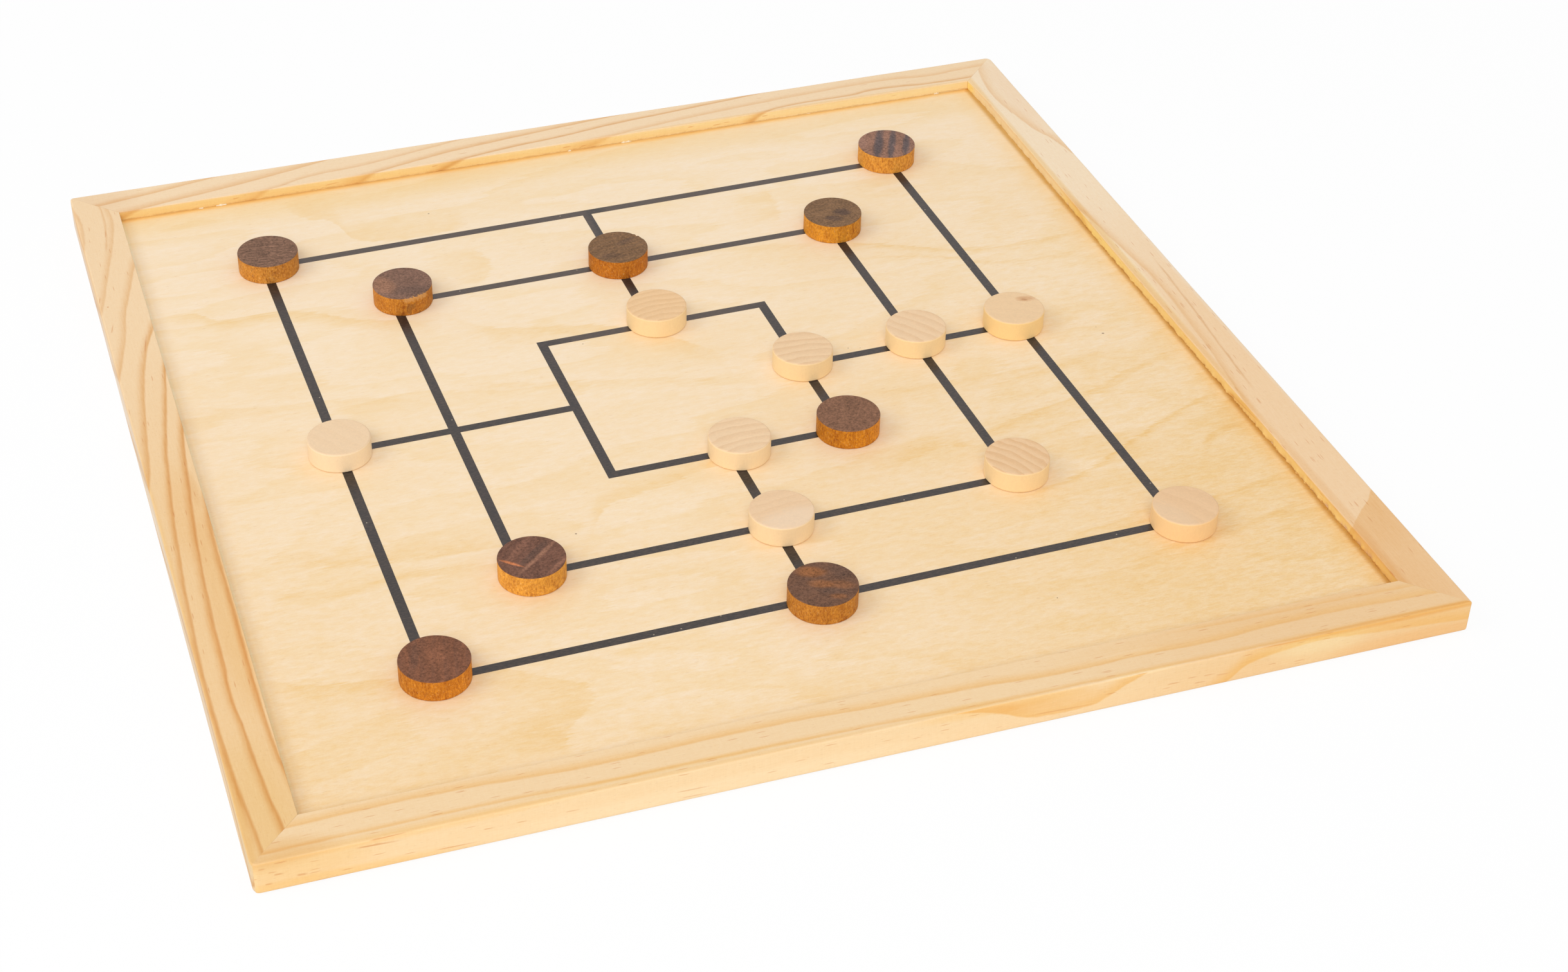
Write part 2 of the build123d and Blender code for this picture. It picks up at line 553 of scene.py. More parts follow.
@dataclass(frozen=True)
class PineFinish:
    """Bare sanded pine of one rail.

    Attributes:
        pale: colour of the wide early wood at the rail's start.
        far: its colour at the rail's other end.
        turn: where along the rail the one goes over into the other, in millimetres.
        amber: colour of the soft dark wood.
        brown: colour of the thin line at a ring's sharp end.
        rings: the growth rings, placed by (along, in from the outer edge).
        washes: the soft patches.
        dashes: the longest resin canals, one by one.
        lean: how far a ring moves across for each millimetre down into the rail.
        dark_inside: whether the dark wood lies on the outer side of a sharp end.
        canals: share of cells that hold a short resin canal.
        inner: what the face towards the panel is multiplied by: painted light, mostly lighter and yellower,
            for the lamp and bounce light on that face.
        face: what the outer face is multiplied by: painted light, for the lamps and the grazing sheen on
            that face.
        seed: moves the noise.
        torn: how dark the foot of the face above the panel is, 0 to 1: torn fibres, and painted shade in
            the seam.
    """

    pale: Colour
    far: Colour
    turn: Pair
    amber: Colour
    brown: Colour
    rings: tuple[Ring, ...]
    washes: tuple[Wash, ...]
    dashes: tuple[Dash, ...]
    lean: float
    dark_inside: bool
    canals: float
    inner: Colour
    face: Colour
    seed: float
    torn: float = 0.4

    def place(self, bench: Bench, side: Side, length: float, height: float) -> tuple[Wire, Wire, Wire]:
        """A point of the rail, in millimetres.

        Args:
            bench: the bench.
            side: which rail.
            length: the rail's length.
            height: the rail's height.

        Returns:
            How far along the rail, how far in from its outer face, and how far below its top.
        """
        x, y, z = bench.millimetres()
        along, across = (x, y) if side.runs_along_x else (y, x)
        inward = length / 2 - across if side.outer_sign > 0 else across + length / 2
        return along + length / 2, inward, height - z

    def canal_wood(self, bench: Bench, along: Wire, spread: Wire, quick: Wire) -> Wire:
        """Where resin canals are cut open: the long ones one by one, the short ones scattered.

        Args:
            bench: the bench.
            along: the distance along the rail.
            spread: the distance across, unrolled over the edges.
            quick: noise that roughens them.

        Returns:
            How dark they are, 0 to 1.
        """
        rough = (quick - 0.5) * 0.3
        cell, chance = bench.cells((along + self.seed) / 12, spread / 1.1)
        dark = (cell + rough).rise(0.24, 0.08) * chance.rise(1 - self.canals, 1.01 - self.canals) * 0.6
        for dash in self.dashes:
            share = (along - dash.start[0]) / (dash.end[0] - dash.start[0])
            off = spread - share * (dash.end[1] - dash.start[1]) - dash.start[1]
            thick = (off.size() + rough * 0.6).rise(dash.width * 0.5 + 0.15, dash.width * 0.12)
            ends = share.rise(-0.02, 0.2) * share.rise(1.02, 0.45) * (quick * 1.4 + 0.3)
            dark = dark.at_least(ends * thick * dash.strength)
        return dark

    def material(self, side: Side, length: float, height: float, width: float) -> bpy.types.Material:
        """Builds the finish of one rail.

        Args:
            side: which rail.
            length: the rail's length in millimetres.
            height: its height.
            width: its width.

        Returns:
            The material.
        """
        bench = Bench.for_finish(f"pine_{side.value}")
        along, across, deep = self.place(bench, side, length, height)
        spread = across - deep + across.rise(width * 0.5, width * 0.55) * deep * 2
        shifted = along + self.seed
        slow = bench.noise((shifted / 55, across / 9, deep / 9), 2.0)
        quick = bench.noise((shifted / 9, across / 1.6, deep / 1.6), 2.0)
        fibre = bench.noise((shifted / 9, across / 0.6, deep / 0.6), 3.0, 0.6)
        scratch = bench.noise((shifted / 0.6, across / 8, deep / 8), 3.0, 0.6)
        mottle = bench.noise((shifted / 2.4, across / 1.1, deep / 1.1), 3.0, 0.7)
        reach = across + deep * self.lean + (slow - 0.5) * 1.6 + (quick - 0.5) * 0.9
        on_face = (deep - across).rise(-0.1, 0.5)
        soft, thin = ring_wood(bench, self.rings, along, reach, on_face, self.dark_inside)

        uneven = slow * 0.5 + fibre * 0.4 + 0.45
        wood = bench.blend((along + (slow - 0.5) * 60).rise(*self.turn), self.pale, self.far)
        wood = bench.blend(soft * uneven, wood, self.amber)
        wood = bench.blend(thin * (quick * 1.3 + 0.1), wood, self.brown)
        # Painted light: the outer face is tinted by face, for the lamps and the grazing sheen on it.
        wood = bench.tint(on_face, wood, self.face)
        for wash in self.washes:
            near = oval(along, spread, wash.centre, wash.reach).rise(1.0, 0.0)
            near = near * on_face if wash.face_only else near
            wood = bench.tint(near * (0.7 + slow * 0.6), wood, wash.tint)

        canal = self.canal_wood(bench, along, spread, quick)
        wood = bench.tint(canal, wood, RESIN)
        speck, odd = bench.cells(shifted / 2.8, spread / 0.8)
        wood = bench.blend(speck.rise(0.3, 0.1) * odd.rise(0.90, 0.93) * 0.14, wood, PIN_BROWN)
        # Painted light: the face towards the panel is tinted by inner, mostly lighter and yellower, for the
        # lamp and bounce light on it.
        inside = across.rise(width - 0.6, width - 0.15) * deep.rise(0.2, 0.9)
        wood = bench.tint(inside * (quick * 0.8 + 0.6), wood, self.inner)
        # Torn fibres and painted shade: the foot of the face towards the panel darkens raggedly, for its
        # torn fibres and for the shade in the seam over the panel.
        tear = bench.noise((shifted / 2.6, across / 0.8, deep / 0.8), 3.0, 0.75)
        torn = (deep + (tear - 0.5) * 3.0 + (quick - 0.5) * 1.6).rise(4.1, 4.9) * inside * self.torn
        wood = bench.tint(torn, wood, TORN_PINE_AND_SEAM_SHADE)
        corner = (along - across).size().at_most((along + across - length).size())
        seam = corner.rise(0.2, 0.05) * across.rise(1.0, 14.0) * 0.34
        wood = bench.blend(seam, wood, MITRE_BROWN)
        wood = bench.vary(wood, mottle, (0.02, 0.06, 0.14))
        wood = bench.vary(wood, fibre * 0.6 + scratch * 0.4, (0.05, 0.10, 0.17))
        relief = bench.bump(fibre * 0.7 + scratch * 0.5 - canal, 0.3, 0.00008)
        gloss = (0.60 - soft * 0.08 + (fibre - 0.5) * 0.12).at_most(0.9)
        return bench.close(Base_Color=wood, Roughness=gloss, Normal=relief, Specular_IOR_Level=0.35)


BACK_PINE = PineFinish(
    pale=(0.915, 0.690, 0.445), far=(0.904, 0.673, 0.422), turn=(330, 500), amber=(0.800, 0.462, 0.195),
    brown=(0.680, 0.350, 0.130), lean=0.42, dark_inside=True, canals=0.02, inner=(1.04, 1.08, 0.86),
    face=(0.98, 0.98, 0.96), seed=0,
    dashes=(
        Dash((80, 24.5), (84, 24.2), 0.5), Dash((128, 25), (137, 24.2), 0.45),
        Dash((185, 23.6), (189, 23.4), 0.5), Dash((256, 24.6), (262, 24.3), 0.55),
        Dash((266, 25.4), (270, 25.2), 0.45), Dash((326, 24), (330, 23.8), 0.5),
        Dash((340, 25.2), (346, 24.9), 0.5), Dash((368, 24.3), (372, 24.2), 0.5),
    ),
    rings=(
        Ring(((-20, 19), (13, 12.9), (40, 8.2), (74, 1.3), (110, -6)), 5.8, 0.8, 0.3),
        Ring(((-10, 31), (33, 21.8), (60, 17), (100, 9.3), (134, 1), (165, -6)), 7.5, 0.8, 0.3),
        Ring(((70, 28), (103, 21.2), (121, 15.7), (150, 12.3), (180, 7), (205, 1.5), (230, -4)), 4.5, 0.5),
        Ring(((130, 28), (157, 21.5), (185, 15), (200, 12), (225, 8.7), (256, 5), (300, 0), (340, -6)),
            5.5, 0.8),
        Ring(((170, 29), (206, 21.2), (230, 17.5), (256, 14.6), (284, 10.3), (310, 7.6), (380, 0),
            (420, -5)), 3.8, 0.85, 0.9),
        Ring(((250, 28), (287, 21.5), (310, 18), (340, 14.2), (370, 11.5), (400, 9.4), (435, 7.7),
            (452, 8.4), (470, 10.2), (486, 8.8), (515, 7.3)), 4.8, 0.62, 0.15),
        Ring(((345, 30), (372, 21.6), (380, 19.6), (400, 18.3), (420, 18.4), (435, 16.4), (448, 17),
            (468, 18.8), (515, 17)), 3.6, 0.8, 0.8),
    ),
    washes=(
        Wash((6, 10), (34, 18), (0.94, 0.90, 0.86)), Wash((80, 25.6), (360, 4.6), (0.97, 0.88, 0.71)),
        Wash((390, 21.5), (150, 1.7), (0.99, 0.92, 0.76)),
    ),
)

LEFT_PINE = PineFinish(
    pale=(0.856, 0.578, 0.298), far=(0.897, 0.655, 0.398), turn=(180, 400), amber=(0.735, 0.380, 0.120),
    brown=(0.660, 0.300, 0.085), lean=0.5, dark_inside=True, canals=0.035, inner=(1.05, 1.20, 1.35),
    face=(0.91, 1.03, 1.34), seed=700,
    dashes=(
        Dash((354, 15), (372, 18.4), 0.7, 0.6), Dash((376, 2.3), (385, 4.4), 0.6, 0.6),
        Dash((404, 0.4), (411, 1.7), 0.5, 0.6), Dash((465, 12), (473, 13.2), 0.6, 0.65),
        Dash((399.3, 3.8), (400.7, 3.9), 0.9, 0.9),
    ),
    rings=(
        Ring(((-10, 7), (5, 6), (50, 3.2), (80, 2.1), (120, 2), (150, 3), (190, 5.2), (256, 10.7),
            (304, 17), (345, 24), (380, 36)), 3.6, 1, 0.5),
        Ring(((-5, 18.4), (15, 16), (50, 13), (75, 11.9), (100, 10.4), (118, 11), (150, 11.4), (220, 15.8),
            (285, 22), (330, 34)), 4.4, 1, 0.8),
        Ring(((20, 26), (50, 22.6), (62, 21.4), (100, 20.8), (150, 21), (200, 21.4), (240, 27)),
            3.8, 1, 0.7),
        Ring(((225, -4), (254, 2), (290, 6), (320, 9.6), (350, 14.7), (372, 21.4), (388, 27)),
            4.6, 0.85, 0.15),
        Ring(((320, -3), (337, 1), (370, 8), (390, 11.2), (405, 14.8), (432, 21.6), (450, 27)),
            4.8, 0.6, 0.1),
        Ring(((380, -5), (396, 0.8), (414, 5), (452, 13.2), (470, 16.6), (480, 17.6), (492, 17), (520, 13)),
            4.4, 0.5, 0.1),
        Ring(((446, 9.5), (470, 13), (485, 13.8), (505, 11)), 1.6, 0.45, 0.5, 10),
        Ring(((440, -4), (458, 0.5), (470, 1.9), (480, 2.2), (495, 0.6), (512, -3)), 2.8, 0.5, 0.1),
    ),
    washes=(
        Wash((14, 8), (70, 26), (0.96, 0.93, 0.80)), Wash((20, -8), (90, 14), (1.04, 0.99, 0.90), True),
        Wash((40, 0), (80, 4), (1.05, 1.07, 1.04), True),
        Wash((440, 0), (190, 9), (1.05, 0.88, 0.58), True), Wash((30, 1.2), (80, 2.6), (0.98, 0.92, 0.80)),
        Wash((450, -9), (85, 12), (0.98, 0.91, 0.82), True),
        Wash((30, -6.5), (60, 5), (1.03, 1.09, 1.18), True),
        Wash((205, -10), (65, 6), (1.05, 1.13, 1.27), True), Wash((180, -0.7), (150, 3.2), (1, 0.96, 0.83)),
        Wash((150, 17), (80, 8), (0.97, 0.92, 0.82)), Wash((118, 10.2), (45, 1.7), (1, 0.95, 0.87)),
        Wash((118, 20), (50, 2.2), (1, 0.94, 0.86)), Wash((240, 19), (18, 2.4), (0.95, 0.90, 0.83)),
        Wash((430, -12.5), (70, 4), (0.94, 0.89, 0.85), True), Wash((482, -3), (20, 6), (1, 0.955, 0.89)),
        Wash((222, 13), (48, 11), (0.98, 0.93, 0.85)),
    ),
)

RIGHT_PINE = PineFinish(
    pale=(0.880, 0.618, 0.368), far=(0.921, 0.735, 0.515), turn=(200, 400), amber=(0.800, 0.474, 0.205),
    brown=(0.640, 0.330, 0.130), lean=-0.5, dark_inside=True, canals=0.10, inner=(1.04, 1.03, 0.62),
    face=(0.98, 0.98, 0.96), seed=1400, torn=0.9,
    dashes=(
        Dash((143, 23.2), (183, 26.6), 0.9, 0.4), Dash((238, 20.2), (248, 20), 0.5, 0.5),
    ),
    rings=(
        Ring(((40, 42), (55, 27), (61, 21.5), (66, 16.8), (70, 12.8), (77, 5.4), (81, 2.2), (88, -5)),
            75, 0.9, 0),
        Ring(((120, 30), (150, 23.6), (170, 21), (190, 19), (205, 17), (220, 16.2), (272, 14.8), (285, 16),
            (330, 20), (380, 27)), 5.5, 0.62, 0.25),
        Ring(((360, -14), (380, -6), (395, 0.5), (415, 5), (425, 9), (440, 12), (470, 15.5), (480, 14.8),
            (495, 12), (515, 7)), 6.5, 0.62, 0.2),
        Ring(((165, 13.7), (200, 11.7), (215, 10.7), (256, 7.8), (290, 6.6)), 0.9, 0.55, 1, 18),
    ),
    washes=(
        Wash((20, 6), (62, 18), (0.97, 0.93, 0.86)), Wash((465, 4), (55, 9), (0.98, 0.94, 0.92)),
        Wash((330, 20.8), (230, 3), (0.95, 0.84, 0.62)), Wash((430, 25.6), (190, 4.6), (1.02, 0.98, 0.74)),
        Wash((60, 20.5), (110, 4), (0.95, 0.87, 0.76)), Wash((225, 0.4), (120, 2.2), (1, 1.08, 1.22)),
        Wash((275, 19.2), (65, 2.4), (1.02, 1.07, 1.09)), Wash((485, 20.5), (35, 2.6), (0.99, 0.93, 0.80)),
        Wash((30, 21), (34, 2.2), (0.97, 0.91, 0.78)),
    ),
)

FRONT_PINE = PineFinish(
    pale=(0.878, 0.636, 0.370), far=(0.842, 0.570, 0.306), turn=(300, 450), amber=(0.835, 0.480, 0.155),
    brown=(0.690, 0.350, 0.120), lean=-1, dark_inside=False, canals=0.08, inner=(1, 0.95, 0.80),
    face=(1.045, 1.040, 1.00), seed=2100,
    dashes=(
        Dash((44, -0.3), (62, 0.2), 0.7, 0.75), Dash((39, -2.5), (59, -3.4), 0.8, 0.7),
        Dash((69, -12.2), (88, -12.6), 0.6, 0.6), Dash((164, -9.6), (181, -9.9), 0.6, 0.55),
        Dash((166, -13), (179, -13.3), 0.5, 0.5), Dash((21, -14.4), (51, -14.9), 0.6, 0.45),
        Dash((8, -7), (12.5, -7.1), 0.9, 0.6), Dash((4.5, -10.9), (8, -11), 0.8, 0.6),
        Dash((16.5, -9.6), (21.5, -9.8), 1.2, 0.55), Dash((6, -5.4), (10, -5.6), 0.6, 0.55),
        Dash((2.5, -2.9), (6, -3), 0.7, 0.5), Dash((88, -7), (93, -7.1), 0.6, 0.5),
        Dash((101, -7.2), (106, -7.3), 0.6, 0.5), Dash((120, -7.2), (127, -7.4), 0.5, 0.5),
        Dash((313, -9.6), (343, -10.8), 0.5, 0.5), Dash((372, -9), (379, -9.1), 0.6, 0.6),
        Dash((381, -8), (386, -8.1), 0.6, 0.5), Dash((388, -8.5), (394, -8.6), 0.6, 0.5),
        Dash((384, -11.5), (391, -11.7), 0.5, 0.5), Dash((394, -9.8), (401, -9.9), 0.5, 0.5),
        Dash((414, -0.3), (436, -0.6), 0.6, 0.5),
    ),
    rings=(
        Ring(((-5, 3.5), (15, 4.8), (50, 5.2), (85, 5.3), (110, 5.2), (140, 3.8), (215, 3.5), (256, 2.6),
            (300, 1.4), (515, 1)), 3.2, 0.75, 0.2),
        Ring(((-5, 14.5), (15, 16), (65, 17), (110, 15.4), (140, 14.3), (165, 14.6), (190, 15.3), (256, 13),
            (295, 12.3), (325, 10), (340, 9.7), (360, 10.7), (390, 9.8), (430, 11.6), (470, 11),
            (515, 9.6)), 6, 0.72, 0.3),
        Ring(((372, 19.5), (420, 18.4), (470, 17.6), (515, 16)), 3.4, 0.5, 0.2, 30),
        Ring(((262, 3), (285, -1), (293, -3), (302, -6), (308, -9), (316, -11), (336, -11.4), (345, -9),
            (352, -5), (365, 1), (380, 8)), 11, 0.95, 0.05, face_only=True),
        Ring(((376, -28), (397, -16), (402, -12), (411, -6), (425, -4), (443, -3), (455, -4.2), (490, -7),
            (515, -9)), 11, 0.95, 0.05, face_only=True),
    ),
    washes=(
        Wash((482, 0), (85, 2.6), (0.95, 0.78, 0.47)), Wash((490, -13), (55, 6), (0.99, 0.90, 0.78), True),
        Wash((470, -8), (150, 15), (0.985, 0.975, 0.94), True),
        Wash((430, 17), (120, 7), (0.99, 0.96, 0.90)), Wash((12, -4), (45, 12), (0.98, 0.92, 0.78), True),
        Wash((60, 0.8), (80, 4.2), (1, 0.93, 0.78)), Wash((6, 4), (34, 10), (0.93, 0.83, 0.67)),
        Wash((20, -14), (75, 4.5), (0.99, 0.90, 0.68), True),
        Wash((300, -1.5), (45, 4), (0.99, 0.92, 0.76)), Wash((160, 1.2), (160, 1.6), (1, 0.94, 0.80)),
        Wash((280, 2.5), (26, 2.5), (1, 0.965, 0.85)), Wash((360, 13), (18, 2.6), (1.02, 1.07, 1.17)),
        Wash((360, 0.5), (20, 1.8), (1.04, 1.10, 1.13)), Wash((440, -7), (25, 9), (1.02, 1.06, 1.07), True),
        Wash((165, 4), (75, 1.8), (0.99, 0.95, 0.82)), Wash((320, -3.5), (28, 5), (0.98, 0.89, 0.72), True),
        Wash((180, -11.5), (115, 6), (1.01, 1.06, 1.13), True),
        Wash((440, -3), (34, 8), (1.02, 1.09, 1.16), True),
    ),
)

PINE: dict[Side, PineFinish] = {
    Side.BACK: BACK_PINE,
    Side.LEFT: LEFT_PINE,
    Side.RIGHT: RIGHT_PINE,
    Side.FRONT: FRONT_PINE,
}


@dataclass(frozen=True)
class Edges:
    """Radii of a rail's three worked edges, in millimetres.

    Attributes:
        top: outer top edge.
        foot: outer bottom edge.
        inner: the edges round the opening.
    """

    top: float = 0.8
    foot: float = 2.5
    inner: float = 0.15


@dataclass
class PineFrame:
    """Four mitred pine rails, in millimetres.

    Attributes:
        side: outside of the frame.
        width: width of a rail.
        height: height of a rail.
        corners: radius of the upright corner at each rail's two ends.
        edges: each rail's edges at its start, and from a little way on.
        groove: depth of the groove for the panel.
        panel_low: underside of the panel.
        panel_high: playing face of the panel.
        lip: how far the rail's lip stands off the playing face, as a dark line.
        end_share: share of a rail's length that its first edges keep.
        ease_share: share over which they go over into the others.
        mitre_rounds: how often the ends are drawn in before they lie in the mitre planes.
        corner_reach: how far in from the outer face a corner's curve is felt.
        lip_reach: how far out from the opening its face still moves the wood.
        calm: distances from the nearer end between which the wavers set in.
        planing: how far the upright faces waver.
        sanding: how far the top wavers.
        crease: faces that meet at more degrees than this get a sharp edge.
    """

    side: float = 510.0
    width: float = 22.0
    height: float = 16.0
    corners: dict[Side, Pair] = field(
        default_factory=lambda: {
            Side.FRONT: (3.0, 0.7),
            Side.RIGHT: (0.7, 3.5),
            Side.BACK: (2.0, 3.5),
            Side.LEFT: (3.0, 2.0),
        }
    )
    edges: dict[Side, tuple[Edges, Edges]] = field(
        default_factory=lambda: {
            Side.FRONT: (Edges(), Edges()),
            Side.RIGHT: (Edges(), Edges(inner=0.45)),
            Side.BACK: (Edges(foot=0.7), Edges(inner=0.45)),
            Side.LEFT: (Edges(), Edges(foot=0.7)),
        }
    )
    groove: float = 7.0
    panel_low: float = 7.0
    panel_high: float = 11.0
    lip: float = 0.03
    end_share: float = 0.008
    ease_share: float = 0.06
    mitre_rounds: int = 60
    corner_reach: float = 5.0
    lip_reach: float = 4.0
    calm: Pair = (7.5, 32.5)
    planing: float = 0.03
    sanding: float = 0.06
    crease: float = 50.0

    def profile(self, edges: Edges) -> np.ndarray:
        """The rail's cross-section, from the inner foot out, up, over the top and into the groove.

        Args:
            edges: its worked edges.

        Returns:
            Points (in from the outer face, height), shape (n, 2), without a repeated first point.
        """
        top, foot, inner = edges.top, edges.foot, edges.inner
        width, height, floor = self.width, self.height, self.width - self.groove
        lip = self.panel_high + self.lip
        return np.concatenate(
            [
                run((width - inner, 0), (foot, 0), 6, 0.3),
                arc((foot, foot), foot, 270, 180, 9),
                run((0, foot), (0, height - top), 6, 0.2),
                arc((top, height - top), top, 180, 90, 7),
                run((top, height), (width - inner, height), 12, 0.2),
                arc((width - inner, height - inner), inner, 90, 0, 4),
                run((width, height - inner), (width, lip), 5, 0.15),
                [(width, lip), (width - 0.5, self.panel_high + 0.05), (floor, self.panel_high + 0.05)],
                [(floor, self.panel_low - 0.02), (width - 0.1, self.panel_low - 0.02)],
                run((width, self.panel_low - 0.12), (width, inner), 3, 0.1),
                arc((width - inner, inner), inner, 0, -90, 3),
            ]
        )

    @staticmethod
    def inset(along: np.ndarray, radius: float) -> np.ndarray:
        """How far a corner draws the outer face in: radius - root(radius^2 - (radius - along)^2)."""
        short = np.clip(radius - along, 0.0, radius)
        return radius - np.sqrt(radius**2 - short**2)

    def stations(self, side: Side) -> np.ndarray:
        """Shares of a rail's length at which it has a ring, close together near the corners.

        Args:
            side: which rail. The torn lip of the right one needs more of them.

        Returns:
            The shares, from 0 to 1, as a column.
        """
        near = np.concatenate([np.linspace(0, self.end_share, 13), np.linspace(0.0105, 0.03, 7)])
        middle = np.linspace(0.034, 0.966, 620 if side is Side.RIGHT else 270)
        return np.concatenate([near, middle, 1 - near[::-1]])[:, None]

    def surface(self, side: Side) -> np.ndarray:
        """Carries the profile along one rail and cuts it off at its mitres.

        A point that lies t in from the outer face runs from t to side - t, so that both ends lie
        in the mitre planes. Near the corners the outer points also draw in with the corner's
        curve, and every face wavers by a few hundredths of a millimetre, as sanding leaves it.

        Args:
            side: which rail.

        Returns:
            The grid of points, in millimetres.
        """
        stations = self.stations(side)
        first, rest = (self.profile(edges).T for edges in self.edges[side])
        share = ramp(stations, self.end_share, self.end_share + self.ease_share)
        share = share * share * (3 - 2 * share)
        across, up = first[:, None] + share * (rest - first)[:, None]
        outer = ramp(across, self.corner_reach, 0.0)
        inner = ramp(across, self.width - self.lip_reach, self.width)
        low, high = self.corners[side]
        start, end = across.copy(), across.copy()
        for _ in range(self.mitre_rounds):
            start = 0.5 * (start + across + outer * self.inset(start, low))
            end = 0.5 * (end + across + outer * self.inset(end, high))
        along = start + stations * (self.side - start - end)

        # The wavers of the faces, which fade out towards the mitres.
        seed = list(Side).index(side) * 10
        nearest = np.minimum(along, self.side - along)
        fade, clear = ramp(nearest, *self.calm), ramp(nearest - across, 0.0, self.width)
        deep_in = across + outer * (self.inset(along, low) + self.inset(self.side - along, high))
        planed = np.maximum(1 + waver(along, seed, 300, 45), 0.0)
        deep_in = deep_in + fade * (outer + inner) * self.planing * planed
        deep_in = deep_in - clear * inner * self.bow(side, along)
        dips = np.maximum(1 + waver(along, seed + 1, 240, 30), 0.0)
        raised = up - fade * ramp(up, 11.5, 15.5) * self.sanding * dips

        # The torn lip: its lower edge climbs a little, and the wood above it stands back.
        ragged = self.ragged(side, along)
        at_opening = across > self.width - 0.2
        lip = (np.abs(up - self.panel_high - self.lip) < 0.01) & at_opening
        raised = raised + lip * np.maximum(ragged, 0.0) * 0.3
        above = (up > self.panel_high) & at_opening
        deep_in = deep_in - clear * above * ragged * ramp(up, 13.6, self.panel_high)

        lengthwise = np.clip(along, deep_in, self.side - deep_in) - self.side / 2
        cross = (self.side / 2 - deep_in) * side.outer_sign
        x, y = (lengthwise, cross) if side.runs_along_x else (cross, lengthwise)
        return np.stack([x, y, raised], axis=-1)

    def rail(self, side: Side) -> bpy.types.Object:
        """Makes and dresses one rail.

        Args:
            side: which rail.

        Returns:
            The rail.
        """
        made = surface_mesh(f"{side.value}_wood", self.surface(side) * MM, self.crease)
        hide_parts(side.value)
        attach(made, "board")
        dress(made, PINE[side].material(side, self.side, self.height, self.width))
        return made

    def bow(self, side: Side, along: np.ndarray) -> np.ndarray:
        """How far a rail's inner face stands back towards the outside.

        Only the right rail is out of true: it tapers by a millimetre and a half towards the back.

        Args:
            side: which rail.
            along: the distance along it.

        Returns:
            The distance, in millimetres.
        """
        if side is not Side.RIGHT:
            return np.zeros_like(along)
        return np.interp(along, [20, 140, 300, 400, 490], [0.5, -0.1, -0.2, 0.8, 1.4])

    def ragged(self, side: Side, along: np.ndarray) -> np.ndarray:
        """How far the lip over the panel is torn back.

        A short-waved line; the right rail was cut with a blunt blade and is torn most.

        Args:
            side: which rail.
            along: the distance along it.

        Returns:
            The distance, in millimetres.
        """
        torn = waver(along, 77 + list(Side).index(side), 17, 2.4, 8)
        if side is not Side.RIGHT:
            return torn * 0.06
        return torn * np.interp(along, [22, 40, 150, 230, 490], [0.15, 0.42, 0.40, 0.20, 0.16])

    def build(self) -> None:
        """Makes and dresses the four rails."""
        for side in Side:
            made = self.rail(side)
            log.info("%s: %d faces", made.name, len(made.data.polygons))


# ---- Glue that was squeezed out under the back rail ----


@dataclass(frozen=True)
class GlueFinish:
    """Dried wood glue: a thin milky skin."""

    white: Colour = (0.88, 0.78, 0.62)
    yellow: Colour = (0.88, 0.66, 0.38)

    def material(self) -> bpy.types.Material:
        """Builds the finish, clouded from milky to the wood's own yellow.

        Returns:
            The material.
        """
        bench = Bench.for_finish("dried_glue")
        x, y, z = bench.millimetres()
        cloud = bench.noise((x / 0.9, y / 0.9, z / 0.9))
        colour = bench.blend(cloud.rise(0.42, 0.66), self.white, self.yellow)
        return bench.close(Base_Color=colour, Roughness=0.4, Normal=bench.bump(cloud, 0.3, 0.0001))


@dataclass
class GlueBeads:
    """Thin flecks of glue in the seam between the back rail and the panel.

    Attributes:
        seam: y of the seam, in millimetres.
        level: height of the playing face.
        beads: each bead's x, length, width out over the panel and height.
    """

    seam: float = 232.9
    level: float = 11.0
    beads: tuple[Spot, ...] = (
        (-191.5, 2.4, 0.5, 0.45), (-181.0, 5.6, 0.45, 0.5), (5.0, 1.8, 0.4, 0.4), (36.5, 6.0, 0.6, 0.6),
        (140.0, 2.2, 0.25, 0.3), (214.5, 2.8, 0.6, 0.7),
    )

    def bead(self, number: int, x: float, length: float, out: float, height: float) -> bpy.types.Object:
        """One bead: an egg whose radius wavers with both angles, half in the seam.

        Args:
            number: its number.
            x: its middle.
            length: its length along the seam.
            out: how far it comes out over the panel.
            height: how far it climbs the rail.

        Returns:
            The bead.
        """
        turn = full_turn(24)
        rise = np.linspace(0.12, math.pi - 0.12, 21)[:, None]
        swell = 1 + 0.2 * np.sin(3 * turn + number) * np.sin(rise) + 0.28 * np.sin(6 * rise + 2 * number)
        px = x + length / 2 * np.cos(rise) + 0 * turn
        py = self.seam - swell * out * np.sin(rise) * np.cos(turn)
        pz = self.level + 0.04 + swell * height * np.sin(rise) * np.clip(np.sin(turn), -0.02, 1.0)
        return surface_mesh(f"glue_bead_{number}", np.stack([px, py, pz], axis=-1) * MM)

    def build(self) -> None:
        """Makes and dresses the beads."""
        finish = GlueFinish().material()
        for number, (x, length, out, height) in enumerate(self.beads, start=1):
            made = self.bead(number, x, length, out, height)
            dress(made, finish)
            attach(made, "board")
        log.info("glue: %d beads", len(self.beads))


# ---- Panel and printed mill ----


